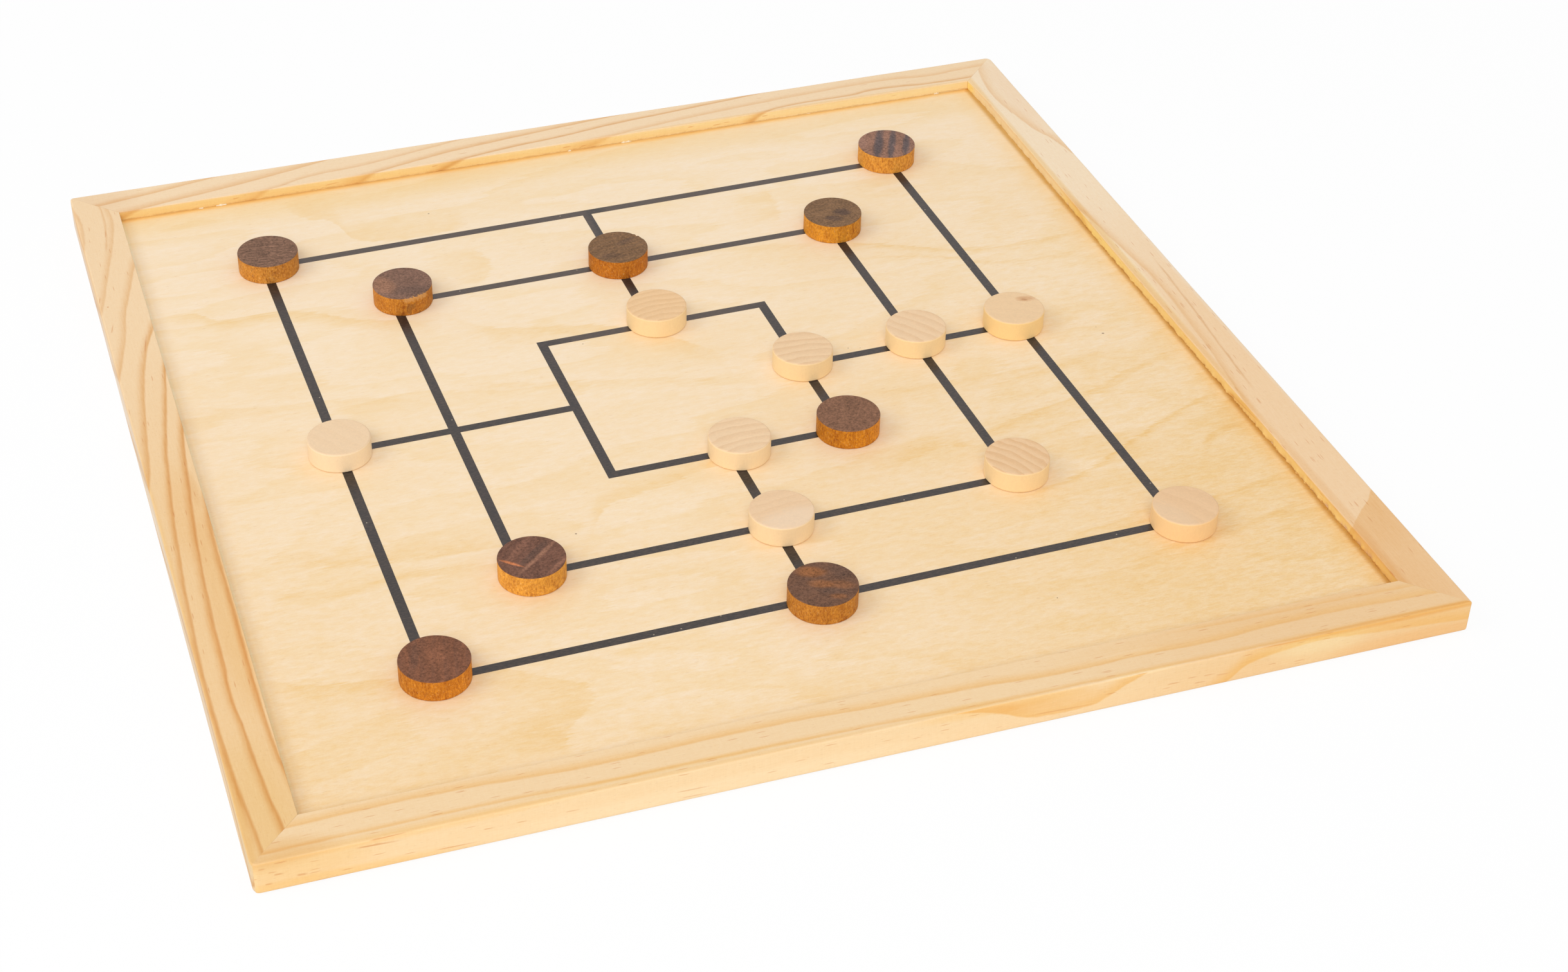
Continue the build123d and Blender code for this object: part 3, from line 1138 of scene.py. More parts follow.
@dataclass(frozen=True)
class VeneerFinish:
    """Rotary-cut birch veneer: a faint flame figure with torn edges, fine pores and a few specks.

    Attributes:
        cool: colour of the wood towards the back left.
        warm: its colour towards the front right.
        honey: what the dark side of a flame is multiplied by.
        gold: what a streak is multiplied by.
        streaks: the plainest edges of the figure, one by one, placed by (right, back).
        raised: the same where the gold lies behind the edge.
        upright: the same for edges that run from front to back, placed by (back, right).
        tick: colour of the scattered short pores.
        mark: colour of the specks.
        opening: half side of the frame's opening, in millimetres.
        pale: the palest patches, as (right, back, half length, half width).
        specks: places and radii of small dark marks, in millimetres.
    """

    cool: Colour = (0.950, 0.765, 0.545)
    warm: Colour = (0.885, 0.636, 0.345)
    honey: Colour = (0.972, 0.912, 0.755)
    gold: Colour = (0.957, 0.858, 0.630)
    streaks: tuple[Ring, ...] = (
        Ring(((-233, 136), (-213, 134), (-199, 124), (-172, 123), (-133, 103), (-98, 92)), 16, 0.8, 0, 25),
        Ring(((-95, 93), (-76, 78), (-63, 74), (-30, 66), (-5, 50), (25, 18)), 24, 0.7, 0, 20),
        Ring(((100, 106), (140, 88), (170, 76), (205, 74), (233, 77)), 7, 0.8, 0, 20),
        Ring(((90, 92), (150, 74), (190, 58), (233, 60)), 4, 0.6, 0, 20),
        Ring(((60, -22), (100, -30), (150, -31), (196, -22)), 14, 0.5, 0, 25),
        Ring(((105, -124), (140, -117), (167, -104), (200, -87), (233, -74)), 6, 0.95, 0, 18),
        Ring(((198, -124), (212, -106), (233, -101)), 9, 0.8, 0, 12),
        Ring(((130, -158), (165, -154), (205, -148), (233, -143)), 6, 0.7, 0, 20),
        Ring(((-233, -142), (-213, -155), (-190, -159), (-160, -170)), 20, 0.8, 0, 20),
        Ring(((-175, -158), (-150, -168), (-115, -190), (-108, -200), (-120, -214)), 12, 0.5, 0, 15),
        Ring(((-233, -78), (-190, -98), (-150, -96), (-100, -110)), 8, 0.5, 0, 25),
        Ring(((100, -78), (140, -66), (175, -57), (205, -44), (233, -37)), 9, 0.7, 0, 20),
        Ring(((125, -185), (160, -176), (200, -170), (233, -163)), 8, 0.6, 0, 20),
        Ring(((-233, 60), (-195, 45), (-160, 40), (-120, 30)), 16, 0.5, 0, 25),
        Ring(((-110, 38), (-60, 24), (-20, 14), (20, 2)), 12, 0.5, 0, 20),
        Ring(((20, 122), (60, 113), (98, 104)), 10, 0.5, 0, 15),
    )
    raised: tuple[Ring, ...] = (
        Ring(((-80, -102), (-72, -84), (-65, -76), (-40, -69), (-5, -60), (25, -50)), 18, 0.7, 0, 12),
        Ring(((-152, 226), (-143, 207), (-130, 199), (-122, 178), (-95, 171), (-62, 176)), 36, 0.6, 0, 10),
        Ring(((-215, -72), (-180, -84), (-140, -88), (-112, -92)), 22, 0.5, 0, 20),
        Ring(((60, -98), (70, -86), (90, -80), (108, -84)), 16, 0.6, 0, 10),
    )
    upright: tuple[Ring, ...] = (
        Ring(((-226, -124), (-214, -122), (-200, -108), (-192, -106), (-180, -120), (-164, -141)),
            45, 0.6, 0, 6),
        Ring(((118, -74), (128, -66), (140, -64), (154, -80)), 30, 0.55, 0, 6),
        Ring(((128, 84), (150, 91), (166, 90)), 40, 0.5, 0, 8),
    )
    tick: Colour = (0.62, 0.36, 0.15)
    mark: Colour = (0.13, 0.07, 0.04)
    opening: float = 233.0
    pale: tuple[Spot, ...] = (
        (195, 0, 80, 110), (-40, -190, 110, 35), (-42, 88, 38, 20), (-48, -86, 30, 17), (-150, 166, 30, 28),
        (-215, 165, 18, 30), (-42, 212, 28, 9), (116, 165, 26, 16), (-82, -152, 48, 20),
        (130, -112, 40, 16), (178, -84, 34, 10),
    )
    specks: tuple[tuple[float, float, float], ...] = (
        (199.5, -15.5, 0.75), (198.6, -9.5, 0.28), (-39.8, 51.3, 0.42), (95.6, -194.6, 0.35),
        (-81.5, 192, 0.55), (79, 9.5, 0.35), (84.5, 8, 0.3), (-83.8, -91, 0.6),
    )

    def borders(self, x: Wire, y: Wire, haze: Wire) -> list[tuple[Wire, Colour]]:
        """The tones along the panel's edges, which lie in the shade and the reflection of the rails.

        Args:
            x: distance to the right of the middle, in millimetres.
            y: distance behind it.
            haze: slow noise.

        Returns:
            How far each tone goes, and the factor of the colour.
        """
        edge = self.opening
        behind = y.rise(edge - 34, edge - 8) * x.rise(130, 10).span(0.6, 1.0)
        seam = x.rise(edge - 3.4, edge - 0.2).at_least(y.rise(edge - 2.2, edge - 0.2) * 0.4)
        return [
            (x.rise(edge - 17, edge) * haze.span(0.45, 0.95), (0.99, 0.905, 0.715)),
            (behind, (0.980, 0.917, 0.755)),
            (y.rise(edge - 4.8, edge - 0.6), (0.98, 0.83, 0.54)),
            (seam, (0.69, 0.54, 0.27)),
            (x.rise(9 - edge, 4 - edge), (0.985, 0.975, 0.955)),
            (x.rise(4.5 - edge, 3.0 - edge), (1.05, 1.05, 1.02)),
            (x.rise(2.0 - edge, 1.0 - edge), (1.03, 1.13, 1.20)),
        ]

    def material(self) -> bpy.types.Material:
        """Builds the finish.

        The figure is a slow hill of noise cut into even steps: each step darkens towards its torn
        edge, and the tear comes from noise that is stretched along x.

        Returns:
            The material.
        """
        bench = Bench.for_finish("birch_veneer")
        x, y, z = bench.millimetres()
        tear = bench.noise((x / 30, y / 1.5, z / 40), 4.0, 0.6)
        haze = bench.noise((x / 70, y / 32, z / 30))
        pore = bench.noise((x / 3.0, y / 0.7, z / 0.7), 2.0, 0.7)
        grit = bench.noise((x / 0.8, y / 0.8, z / 0.8), 2.0, 0.7)
        fleck = bench.noise((x / 8.0, y / 2.8, z / 2.8), 4.0, 0.7)
        across, back = x / 205, y / -205
        warmth = back * 0.38 + (across * across * 0.33 + across * 0.26) * (back * 0.35 + 0.75)
        wood = bench.blend(warmth + (haze - 0.5) * 0.35 + 0.22, self.cool, self.warm)
        for place_x, place_y, *reach in self.pale:
            wood = bench.blend(oval(x, y, (place_x, place_y), reach).rise(1.0, 0.2) * 0.32, wood, self.cool)

        slide = x + (tear - 0.5) * 40.0
        hills = bench.noise((slide / 150, y / 55, z / 90 + 3.7), 2.0, 0.45)
        saw = (hills * 6.0 + y / 110 - slide / 420 + (fleck - 0.5) * 0.05).fraction()
        flame = (saw ** 1.7) * saw.rise(1.0, 0.93)
        wood = bench.tint(flame * haze.span(0.1, 1.2), wood, self.honey)
        reach = y + (tear - 0.5) * 9.0 + (fleck - 0.5) * 2.0
        streak, _ = ring_wood(bench, self.streaks, x, reach, blur=1.6)
        raised, _ = ring_wood(bench, self.raised, x, reach, dark_inside=False, blur=1.6)
        aside, _ = ring_wood(bench, self.upright, y, x + (tear - 0.5) * 12.0, blur=1.6)
        streak = streak.at_least(raised).at_least(aside)
        wood = bench.tint(streak * (fleck * 0.6 + 0.6), wood, self.gold)

        tick, odd = bench.cells(x / 5.5, y / 1.3)
        wood = bench.blend(tick.rise(0.24, 0.08) * odd.rise(0.95, 0.97) * 0.2, wood, self.tick)
        for share, factor in self.borders(x, y, haze):
            wood = bench.tint(share, wood, factor)
        for place_x, place_y, radius in self.specks:
            ends = {0: bench.join(x, y, 0.0), 1: (place_x, place_y, 0.0)}
            gap = bench.vector("DISTANCE", ends, "Value") + (grit - 0.5) * 0.5
            wood = bench.blend(gap.rise(radius, radius * 0.4) * 0.8, wood, self.mark)
        plain = (warmth * 1.1 + 0.9).at_least(0.7)
        wood = bench.vary(wood, (fleck - 0.5) * plain * 2.4 + 0.5, (0.012, 0.045, 0.130))
        wood = bench.vary(wood, (pore * 0.6 + grit * 0.4 - 0.5) * plain * 1.7 + 0.5, (0.025, 0.058, 0.105))
        relief = bench.bump(pore + grit * 0.5, 0.25, 0.00006)
        gloss = 0.56 + (pore - 0.5) * 0.1 - flame * 0.05
        return bench.close(Base_Color=wood, Roughness=gloss, Normal=relief, Specular_IOR_Level=0.35)


@dataclass(frozen=True)
class InkFinish:
    """Charcoal printing ink with a slight sheen, through which the veneer's pores show a little.

    Attributes:
        charcoal: colour of a full film.
        thin_film_and_sheen: colour where the film is thin, and of the painted sheen on the lines towards
            the back.
        sheen: tint of its gloss.
        bare: colour of the wood in its pinholes.
    """

    charcoal: Colour = (0.020, 0.013, 0.010)
    thin_film_and_sheen: Colour = (0.075, 0.048, 0.034)
    sheen: Colour = (0.96, 0.97, 1.0)
    bare: Colour = (0.75, 0.62, 0.45)

    def material(self) -> bpy.types.Material:
        """Builds the finish.

        Returns:
            The material.
        """
        bench = Bench.for_finish("charcoal_ink")
        x, y, z = bench.millimetres()
        pore = bench.noise((x / 2.0, y / 0.8, z / 0.8), 2.0, 0.7)
        cloud = bench.noise((x / 9, y / 9, z / 9), 3.0, 0.6)
        # Painted reflection: the lines behind the middle, away from the middle line, are made lighter and
        # warmer, as they catch more sheen at a grazing view.
        back_sheen = (y - x.size()).rise(0.0, 18.0) * x.size().rise(3.0, 7.0) * 0.6
        thin = (pore * 2.0 + cloud * 0.6 - 1.05).at_least(0.0) + back_sheen
        colour = bench.blend(thin, self.charcoal, self.thin_film_and_sheen)
        fleck, odd = bench.cells(x / 6, y / 6)
        bare = fleck.rise(0.07, 0.03) * odd.rise(0.94, 0.96) * 0.5
        colour = bench.blend(bare, colour, self.bare)
        return bench.close(
            Base_Color=colour,
            Roughness=0.36 + (cloud - 0.5) * 0.12,
            Normal=bench.bump(pore, 0.22, 0.00005),
            Specular_IOR_Level=0.5,
            Specular_Tint=self.sheen,
        )


@dataclass
class PlayPanel:
    """The plywood panel and the mill printed on it; both keep their solids."""

    def build(self) -> None:
        """Dresses the panel and the mill."""
        dress(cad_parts["play_panel"], VeneerFinish().material())
        log.info("play_panel: birch veneer")
        dress(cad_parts["printed_mill"], InkFinish().material())
        log.info("printed_mill: charcoal ink")


# ---- Men ----


class Wood(Enum):
    """What a man is turned from."""

    DARK = "dark_stained_wood"
    PALE = "pale_wood"


@dataclass(frozen=True)
class Stain:
    """A soft oval mark on a man's top.

    Attributes:
        centre: its middle from his own, (right, back), in millimetres.
        reach: half its length and half its width.
        angle: its direction, degrees from the board's right towards its back.
        colour: its colour.
        strength: how strong it is, 0 to 1.
    """

    centre: Pair
    reach: Pair
    angle: float
    colour: Colour
    strength: float = 0.7


@dataclass(frozen=True)
class ManLook:
    """What sets one man apart from the others of his colour.

    Attributes:
        diameter: in millimetres.
        top: colour of the top.
        second: colour of the lines on it.
        side: colour of the long grain round his side.
        angle: direction of the lines, degrees from the board's right towards its back.
        pitch: millimetres from one line to the next.
        lines: how strong the lines are, 0 to 1.
        bend: radius to which the lines are bent, in millimetres.
        fibres: how strong the fine fibres along the lines are.
        flecks: how strong the dark fibres round the side are, 0 to 1.
        stains: the marks on his top.
        tear: (start, end) of the torn stretch of his rim in degrees, or none.
        glow: how much lighter his side is at the right, as a share: painted light and shade across his
            side.
    """

    diameter: float
    top: Colour
    second: Colour
    side: Colour
    angle: float
    pitch: float
    lines: float
    bend: float = 90.0
    fibres: float = 0.1
    flecks: float = 0.3
    stains: tuple[Stain, ...] = ()
    tear: Pair | None = None
    glow: float = 0.0


# Colours of the stains on the tops, then those of the palest grains with their painted glints, the freshly
# torn wood and the painted shade of the dents below it on the sides.
SLATE = (0.095, 0.078, 0.082)
UMBER = (0.100, 0.061, 0.047)
RUST = (0.330, 0.125, 0.042)
TAN = (0.760, 0.490, 0.270)
GLINT = (0.86, 0.60, 0.24)
FRESH = (0.66, 0.33, 0.11)
SHADE = (0.16, 0.06, 0.02)

LOOKS: dict[str, ManLook] = {
    "dark_man_1": ManLook(29.7, (0.225, 0.122, 0.078), (0.120, 0.066, 0.044), (0.560, 0.226, 0.030), -8,
        2.2, 0.4, 200, 2.2, 0.95, glow=-0.10),
    "dark_man_2": ManLook(29.6, (0.305, 0.158, 0.106), (0.215, 0.112, 0.080), (0.686, 0.289, 0.037), 80,
        5, 0.2, 400, 0.15, 0.2, glow=-0.04, stains=(
            Stain((-3.8, 1.7), (18, 2.5), 66, SLATE, 0.85), Stain((2.6, -1.1), (18, 2), 66, SLATE, 0.85),
            Stain((9.4, -4.1), (13, 2), 66, SLATE, 0.85),
            Stain((-12, 4.5), (6, 3), 66, (0.33, 0.18, 0.13), 0.6),
        )),
    "dark_man_3": ManLook(29.7, (0.212, 0.086, 0.046), (0.150, 0.070, 0.045), (0.602, 0.209, 0.016), 76,
        4.6, 0.4, 300, 0.25, 0.25, glow=0.12, stains=(
            Stain((1.5, 2), (7, 4), 76, (0.275, 0.110, 0.058), 0.6),
            Stain((-7, 4), (9, 1.8), 76, UMBER, 0.35),
        )),
    "dark_man_4": ManLook(29.8, (0.172, 0.084, 0.050), (0.110, 0.060, 0.042), (0.515, 0.199, 0.023), 20,
        6, 0.25, 200, 0.3, 0.45, stains=(
            Stain((-2.2, 9.1), (6.5, 3.6), -21, RUST, 0.75), Stain((-1.1, 0.4), (5, 2.8), -21, RUST, 0.6),
            Stain((6.8, -2.7), (6.5, 2.8), -21, RUST, 0.4), Stain((3.5, -9.6), (3.6, 1.8), -21, RUST, 0.5),
            Stain((2, -5.5), (6.5, 2.2), -21, UMBER, 0.45), Stain((10.5, 6), (5, 5), 0, UMBER, 0.4),
        )),
    "dark_man_5": ManLook(28.7, (0.232, 0.125, 0.085), (0.140, 0.085, 0.066), (0.520, 0.190, 0.020), -20,
        1.5, 0.45, 16, 0.2, 0.3, tear=(-104, -44), glow=-0.08, stains=(
            Stain((-9.2, 0.3), (5.5, 8), 10, (0.370, 0.185, 0.110), 0.75),
            Stain((4, -8), (10, 4.5), -12, (0.130, 0.080, 0.062), 0.5),
        )),
    "dark_man_6": ManLook(29.4, (0.222, 0.120, 0.058), (0.130, 0.080, 0.055), (0.500, 0.161, 0.013), 18,
        3.2, 0.3, 200, 0.45, 0.35, tear=(15, 50), stains=(
            Stain((5.5, 4), (7, 2), 20, UMBER, 0.45), Stain((-6, -7), (6, 3), -10, UMBER, 0.35),
        )),
    "dark_man_7": ManLook(29, (0.225, 0.124, 0.062), (0.140, 0.085, 0.058), (0.593, 0.234, 0.019), 10,
        4, 0.2, 200, 0.35, 0.12, glow=-0.14, stains=(
            Stain((4.4, -1.7), (4.6, 3.4), -22, UMBER, 0.8), Stain((-1.8, -6), (4.6, 2.6), -22, UMBER, 0.7),
        )),
    "dark_man_8": ManLook(29.2, (0.178, 0.082, 0.053), (0.120, 0.062, 0.046), (0.724, 0.318, 0.040), 47,
        3, 0.3, 300, 0.3, 0.35, glow=-0.08, stains=(
            Stain((3.2, -0.3), (15, 1.1), 40.5, (0.325, 0.160, 0.100), 0.8),
            Stain((1.2, 1.9), (12, 1.9), 40.5, UMBER, 0.55),
            Stain((-4, 6.5), (10, 1.8), 46.7, (0.270, 0.125, 0.080), 0.6),
            Stain((9, -8.7), (8, 1.1), 37.9, (0.290, 0.135, 0.085), 0.7),
            Stain((-9.2, -1.7), (5.5, 0.85), -42, (0.560, 0.190, 0.075), 0.95),
        )),
    "dark_man_9": ManLook(28.8, (0.232, 0.114, 0.066), (0.180, 0.088, 0.056), (0.590, 0.210, 0.013), 60,
        4.5, 0.2, 200, 0.5, 0.35, glow=0.16),
    "light_man_1": ManLook(28.6, (0.858, 0.624, 0.396), TAN, (0.952, 0.740, 0.415), -60, 7, 0.12, 120),
    "light_man_2": ManLook(28.8, (0.850, 0.592, 0.344), TAN, (0.950, 0.658, 0.252), -30, 6, 0.12, 120,
        stains=(
            Stain((8.2, 5.6), (4.6, 2.3), -12, (0.66, 0.36, 0.17), 0.75),
            Stain((7.4, 5), (1.5, 0.9), -30, (0.50, 0.24, 0.10), 0.7),
        )),
    "light_man_3": ManLook(28.6, (0.822, 0.545, 0.312), TAN, (0.940, 0.640, 0.280), -60, 8, 0.5, 60,
        stains=(
            Stain((-9, -4), (14, 6), -60, (0.815, 0.570, 0.350), 0.8),
        )),
    "light_man_4": ManLook(28.5, (0.858, 0.605, 0.372), TAN, (0.948, 0.692, 0.315), -56, 5.5, 0.55, 90),
    "light_man_5": ManLook(28.5, (0.835, 0.580, 0.355), TAN, (0.952, 0.715, 0.365), 6, 4.5, 0.35, 140,
        stains=(
            Stain((2, -8.5), (17, 7.5), 6, (0.855, 0.640, 0.440), 0.85),
        )),
    "light_man_6": ManLook(28.7, (0.835, 0.560, 0.320), (0.740, 0.450, 0.225), (0.950, 0.692, 0.318), -62,
        4.6, 0.8, 55),
    "light_man_7": ManLook(28.8, (0.858, 0.570, 0.312), (0.770, 0.480, 0.240), (0.950, 0.696, 0.322), -1,
        4.2, 0.7, 38),
    "light_man_8": ManLook(28.3, (0.858, 0.605, 0.366), TAN, (0.947, 0.700, 0.325), -9, 5, 0.7, 70),
    "light_man_9": ManLook(28.4, (0.864, 0.618, 0.384), TAN, (0.952, 0.715, 0.365), -1, 5, 0.55, 44),
}


@dataclass(frozen=True)
class ManFinish:
    """Wood of one kind of man: end grain on top, long grain round the side.

    Attributes:
        fleck: what the darker fibres of the side are multiplied by.
        foot: what the side is multiplied by at the foot: painted shade where he meets the panel.
        speckle: how uneven the top's fine grain is.
        mottle: how uneven the side's fine grain is.
        specular: how strongly he shines.
        glint: how light the palest grains of the side are, 0 to 1; they are partly painted glints of sheen.
    """

    fleck: Colour
    foot: Colour
    speckle: float
    mottle: float
    specular: float
    glint: float

    def top(self, bench: Bench, look: ManLook, x: Wire, y: Wire, seed: float, grain: Wire) -> Wire:
        """The end grain of a top: bent lines, fine fibres along them, and his own stains.

        Args:
            bench: the bench.
            look: what sets him apart.
            x: distance to the right of his middle, in millimetres.
            y: distance behind it.
            seed: moves the noise.
            grain: fine noise.

        Returns:
            The colour.
        """
        along, cross = turned(x, y, look.angle)
        cloud = bench.noise((along / 14 + seed, cross / 5, 0.0), 3.0, 0.55)
        fibre = bench.noise((along / 4.5 + seed, cross / 0.8, 0.0), 3.0, 0.65)
        bent = bench.vector("LENGTH", {0: bench.join(along - 3.0, cross + look.bend, 0.0)}, "Value")
        saw = ((bent + (cloud - 0.5) * 5.0 + seed) / look.pitch).fraction()
        ring = saw.rise(0.15, 0.92) * saw.rise(1.0, 0.92)
        colour = bench.blend(ring * look.lines * (0.4 + cloud), look.top, look.second)
        ragged = (grain - 0.5) * 0.9 + (cloud - 0.5) * 0.8 + (fibre - 0.5) * 1.1
        for stain in look.stains:
            off = turned(x - stain.centre[0], y - stain.centre[1], stain.angle)
            near = (oval(*off, (0.0, 0.0), stain.reach) + ragged).rise(1.6, 0.1)
            colour = bench.blend(near * stain.strength, colour, stain.colour)
        tone = ((grain - 0.5) + (cloud - 0.5) * 0.3) * self.speckle + (fibre - 0.5) * look.fibres
        return bench.shade(colour, (tone + 1.0).at_least(0.3))

    def material(
        self, name: str, look: ManLook, centre: Pair, seat: float, height: float
    ) -> bpy.types.Material:
        """Builds the finish of one man.

        Args:
            name: the man's name.
            look: what sets him apart.
            centre: his middle, in millimetres.
            seat: height of his foot.
            height: his height.

        Returns:
            The material.
        """
        bench = Bench.for_finish(name)
        x, y, z = bench.millimetres()
        x, y, z = x - centre[0], y - centre[1], z - seat
        seed = 17.0 * list(LOOKS).index(name) + 5.0
        grain = bench.noise((x / 1.1 + seed, y / 1.1, z / 6), 3.0, 0.8)
        top = self.top(bench, look, x, y, seed, grain)

        speck = bench.noise((x / 0.9 + seed, y / 0.9, z / 1.4), 3.0, 0.8)
        fibre = bench.noise((x / 0.75 + seed, y / 0.75, z / 4.0), 3.0, 0.65)
        broad = bench.noise((x / 4 + seed, y / 4, z / 7), 2.0)
        side = bench.blend(fibre.rise(0.55, 0.68) * look.flecks, look.side, self.fleck_of(look))
        # Pale grains round the side, partly painted glints of sheen.
        light = bench.noise((x / 0.85 - seed, y / 0.85, z / 1.1), 2.0, 0.8)
        side = bench.blend(light.rise(0.56, 0.70) * self.glint, side, GLINT)
        # Painted shade: the side darkens at the foot, where he meets the panel.
        side = bench.tint((z + (speck - 0.5) * 1.6).rise(0.9, 0.1) * 0.7, side, self.foot)
        tone = ((speck - 0.5) + (broad - 0.5) * 0.3 + (fibre - 0.5) * 0.6) * self.mottle
        tone = bench.vary((1.0, 1.0, 1.0), 0.5 - tone * 0.5, (0.72, 1.0, 1.35))
        side = bench.tint(1.0, side, tone)
        # Painted light and shade: the side is made lighter or darker towards the right.
        side = bench.shade(side, x * (look.glow / look.diameter * 2) + 1.0)
        if look.tear:
            bearing = y.bearing(x) * (180 / math.pi)
            middle, half = sum(look.tear) / 2, (look.tear[1] - look.tear[0]) / 2
            near = (bearing - middle).size().rise(half, half * 0.7)
            torn = near * (z + (fibre - 0.5) * 6.0).rise(height - 2.8, height - 1.6)
            side = bench.blend(torn * 0.75, side, FRESH)
            below = (z + (broad - 0.5) * 4.0).rise(height - 2.2, height - 3.4) * broad.rise(0.5, 0.62)
            side = bench.blend(near * below * 0.5, side, SHADE)
        crown = (z + (speck - 0.5) * 0.3).rise(height - 0.42, height - 0.18)
        relief = bench.bump(fibre + grain * 0.4, 0.4, 0.00010)
        gloss = 0.52 + (grain - 0.5) * 0.12 + crown * 0.06
        wood, shine = bench.blend(crown, side, top), self.specular
        return bench.close(Base_Color=wood, Roughness=gloss, Normal=relief, Specular_IOR_Level=shine)

    def fleck_of(self, look: ManLook) -> Colour:
        """Colour of the darker fibres round one man's side."""
        return tuple(part * share for part, share in zip(look.side, self.fleck))


MAN_FINISH: dict[Wood, ManFinish] = {
    Wood.DARK: ManFinish((0.42, 0.32, 0.26), (0.86, 0.80, 0.78), 2.4, 2.2, 0.11, 0.22),
    Wood.PALE: ManFinish((0.96, 0.90, 0.78), (0.99, 0.96, 0.88), 0.20, 0.16, 0.35, 0.1),
}


@dataclass
class Man:
    """One turned man, in millimetres.

    Attributes:
        name: his CAD node.
        wood: what he is made of.
        look: what sets him apart.
        rim: radius of his top edge.
        foot: radius of his foot's edge.
        steps: points round him.
        unround: how far his radius wavers, as a share.
        bite: how far a torn rim goes in and down.
    """

    name: str
    wood: Wood
    look: ManLook
    rim: float
    foot: float
    steps: int = 144
    unround: float = 0.0016
    bite: Pair = (0.42, 0.34)

    def profile(self, radius: float, height: float) -> np.ndarray:
        """Half his outline, from the middle of his foot to the middle of his top.

        Args:
            radius: his radius.
            height: his height.

        Returns:
            Points (radius, height), shape (n, 2).
        """
        return np.concatenate(
            [
                [(radius * 0.4, 0.0), (radius - self.foot - 0.3, 0.0)],
                arc((radius - self.foot, self.foot), self.foot, 270, 360, 5),
                run((radius, self.foot), (radius, height - self.rim), 7, 0.15),
                arc((radius - self.rim, height - self.rim), self.rim, 0, 90, 6),
                [(radius - self.rim - 0.25, height), (radius * 0.8, height), (radius * 0.4, height)],
            ]
        )

    def build(self) -> None:
        """Turns the profile round his axis; his radius wavers a little, and a torn rim dips."""
        low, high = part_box(self.name)
        centre = ((low.x + high.x) / 2 / MM, (low.y + high.y) / 2 / MM)
        seat, height = low.z / MM, (high.z - low.z) / MM
        radius, up = self.profile(self.look.diameter / 2, height).T
        turn = full_turn(self.steps)
        seed = int(self.name[-1]) + 20 * len(self.name)
        round_trip = waver(np.stack([np.cos(turn), np.sin(turn)], axis=-1), seed, 2.6, 0.7, 5).sum(axis=-1)
        swell = 1 + self.unround * round_trip
        radius, up = radius[:, None] * swell, up[:, None] + 0 * turn
        if self.look.tear:
            start, end = self.look.tear
            bearing = np.degrees(np.arctan2(np.sin(turn), np.cos(turn)))
            half = (end - start) / 2
            inside = ramp(np.abs(bearing - start - half), half, half - 8)
            bite = inside * np.abs(waver(bearing, seed + 5, 23, 3.1, 8))
            bite = bite * ramp(up, height - 1.1, height) * (radius > self.look.diameter / 2 - 1.2)
            radius, up = radius - self.bite[0] * bite, up - self.bite[1] * bite
        x = centre[0] + radius * np.cos(turn)
        y = centre[1] + radius * np.sin(turn)
        made = surface_mesh(f"{self.name}_wood", np.stack([x, y, seat + up], axis=-1) * MM)
        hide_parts(self.name)
        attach(made, self.name)
        dress(made, MAN_FINISH[self.wood].material(self.name, self.look, centre, seat, height))


@dataclass
class Men:
    """Nine dark and nine pale men."""

    def build(self) -> None:
        """Makes and dresses every man."""
        for name, look in LOOKS.items():
            if name.startswith("dark"):
                Man(name, Wood.DARK, look, 0.3, 0.2).build()
            else:
                Man(name, Wood.PALE, look, 0.8, 0.55).build()
            log.info("%s: diameter %.1f mm", name, look.diameter)


# ---- Studio ----


@dataclass(frozen=True)
class Lamp:
    """One square soft light.

    Attributes:
        name: its name.
        place: its centre, in metres.
        side: its side length.
        watts: its power.
    """

    name: str
    place: tuple[float, float, float]
    side: float
    watts: float


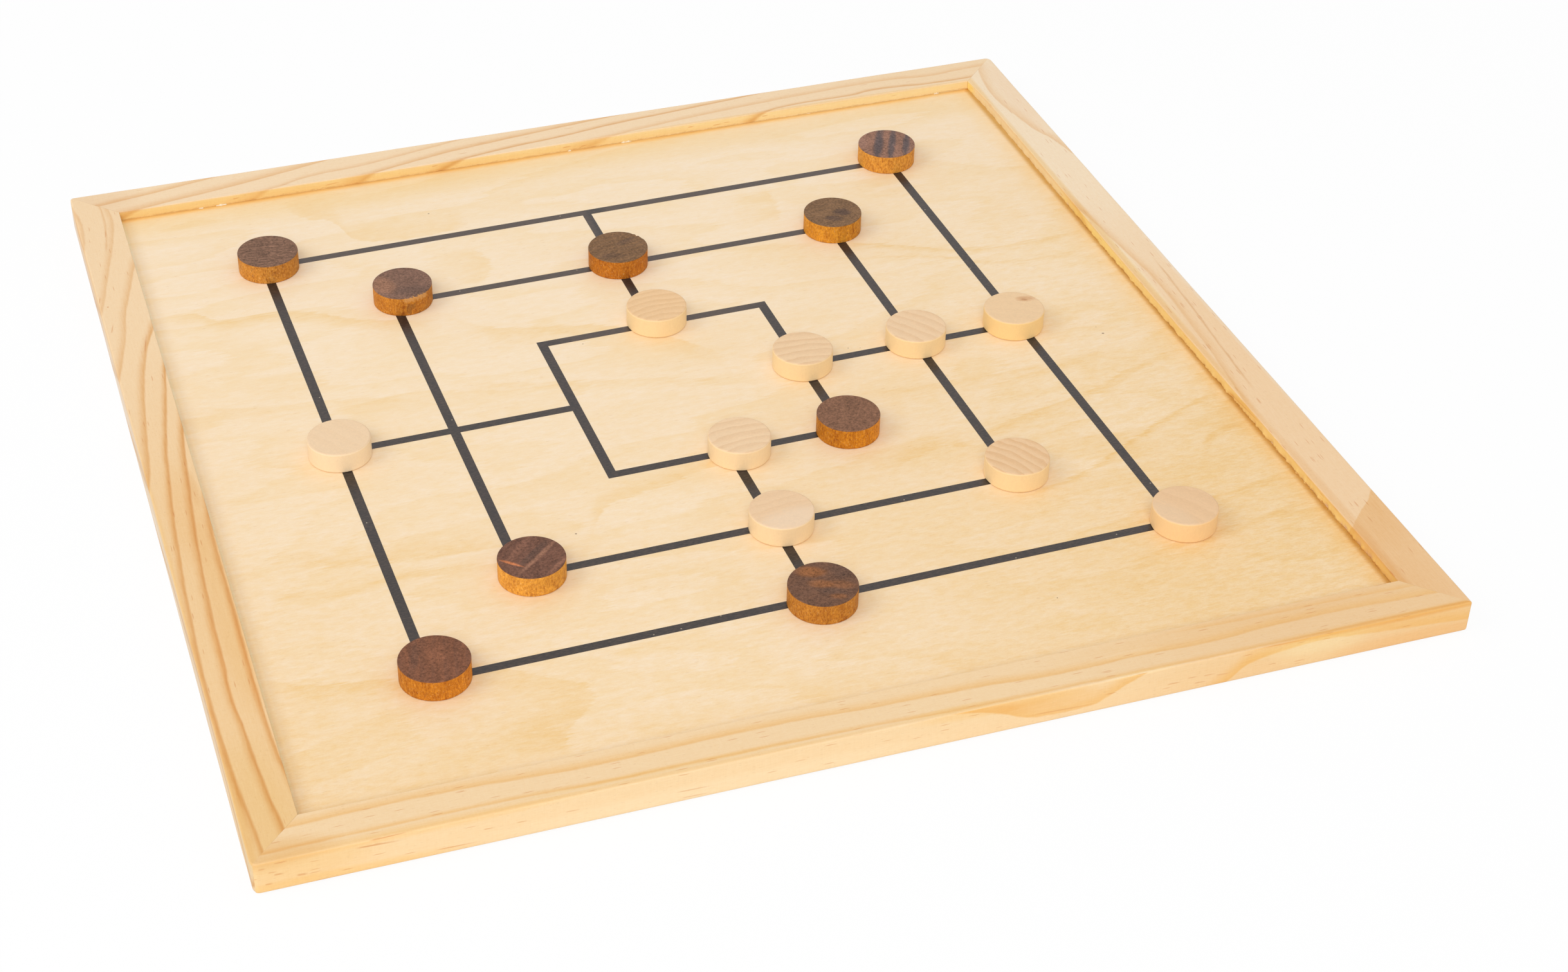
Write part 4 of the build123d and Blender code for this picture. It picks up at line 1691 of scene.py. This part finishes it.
@dataclass
class Studio:
    """Floor, lights, world and camera.

    Attributes:
        camera_place: where the camera stands.
        camera_aim: the point of the panel on the camera's axis.
        camera_roll: degrees by which the camera leans, its right side up.
        focal_length: millimetres, on a sensor of sensor_width.
        sensor_width: the sensor's width.
        shift: how far the frame is moved to the right, in frame widths.
        floor_reach: half the floor's side, in metres.
        floor_glow: how far the floor is plain white to the eye, 0 to 1.
        ambient: strength of the light from all round.
        lamps: the lamps.
    """

    camera_place: Vector = field(default_factory=lambda: Vector((-0.321728, -0.985257, 0.715654)))
    camera_aim: Vector = field(default_factory=lambda: Vector((-0.034329, -0.070286, 0.011000)))
    camera_roll: float = -0.167
    focal_length: float = 61.917
    sensor_width: float = 36.0
    shift: float = 0.07213
    floor_reach: float = 6.0
    floor_glow: float = 0.9
    ambient: float = 0.64
    lamps: tuple[Lamp, ...] = (
        Lamp("key", (-1.17, -3.21, 3.08), 2.2, 76.0),
        Lamp("left", (-2.96, -0.26, 2.68), 1.9, 30.0),
    )

    def camera(self) -> None:
        """Adds the camera: its axis runs from place to aim, then it leans about that axis."""
        data = bpy.data.cameras.new("camera")
        data.sensor_fit = "HORIZONTAL"
        data.sensor_width = self.sensor_width
        data.lens = self.focal_length
        data.shift_x = self.shift
        data.clip_start = 0.01
        data.clip_end = 50.0
        made = put("camera", data)
        ahead = (self.camera_aim - self.camera_place).normalized()
        level = ahead.cross(Vector((0, 0, 1))).normalized()
        upright = level.cross(ahead)
        lean = math.radians(self.camera_roll)
        right = level * math.cos(lean) + upright * math.sin(lean)
        above = right.cross(ahead)
        turn = Matrix((right, above, -ahead)).transposed()
        made.matrix_world = Matrix.Translation(self.camera_place) @ turn.to_4x4()
        bpy.context.scene.camera = made

    def floor(self) -> None:
        """Lays a wide pale floor that keeps the board's soft shadow and looks white beyond it."""
        mesh = bpy.data.meshes.new("floor")
        reach = self.floor_reach
        corners = [(-reach, -reach, 0), (reach, -reach, 0), (reach, reach, 0), (-reach, reach, 0)]
        mesh.from_pydata(corners, [], [(0, 1, 2, 3)])
        made = put("floor", mesh)
        bench = Bench.for_finish("floor_paper")
        paper = bench.node("ShaderNodeBsdfDiffuse", inputs={"Color": (0.95, 0.95, 0.95)})
        glow = bench.node("ShaderNodeEmission", inputs={"Color": (1, 1, 1), "Strength": 1.0})
        seen = self.seen_by_eye(bench) * self.floor_glow
        mixed = bench.node("ShaderNodeMixShader", inputs={0: seen, 1: paper, 2: glow})
        bench.node("ShaderNodeOutputMaterial", inputs={"Surface": mixed})
        dress(made, bench.owner)

    @staticmethod
    def seen_by_eye(bench: Bench) -> Wire:
        """1 for rays from the camera and for its mirrored and bent ones."""
        rays = bench.node("ShaderNodeLightPath", output="Is Camera Ray")
        return (rays + rays.other("Is Glossy Ray") + rays.other("Is Transmission Ray")).at_most(1.0)

    def world(self) -> None:
        """Even light from all round, with a white backdrop for the eye."""
        made = bpy.data.worlds.new("studio")
        bpy.context.scene.world = made
        bench = Bench(made)
        light = bench.node("ShaderNodeBackground", inputs={"Color": (1, 1, 1), "Strength": self.ambient})
        white = bench.node("ShaderNodeBackground", inputs={"Color": (1, 1, 1), "Strength": 1.0})
        mixed = bench.node("ShaderNodeMixShader", inputs={0: self.seen_by_eye(bench), 1: light, 2: white})
        bench.node("ShaderNodeOutputWorld", inputs={"Surface": mixed})

    @staticmethod
    def light(lamp: Lamp) -> None:
        """Adds one lamp, turned towards the middle of the board.

        Args:
            lamp: which one.
        """
        data = bpy.data.lights.new(lamp.name, "AREA")
        data.shape = "SQUARE"
        data.size = lamp.side
        data.energy = lamp.watts
        made = put(lamp.name, data)
        made.location = lamp.place
        made.rotation_euler = (-Vector(lamp.place)).to_track_quat("-Z", "Y").to_euler()

    def build(self) -> None:
        """Sets the whole studio up."""
        scene = bpy.context.scene
        scene.view_settings.view_transform = "Standard"
        self.camera()
        self.floor()
        self.world()
        for lamp in self.lamps:
            self.light(lamp)
        log.info("studio ready")


# ---- The whole scene ----


def main() -> None:
    """Builds the studio and every piece in order, and reports each."""
    logging.basicConfig(level=logging.INFO, format="%(name)s: %(message)s")
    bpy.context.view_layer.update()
    for part in (Studio(), PineFrame(), PlayPanel(), GlueBeads(), Men()):
        part.build()


if __name__ == "__main__":
    main()
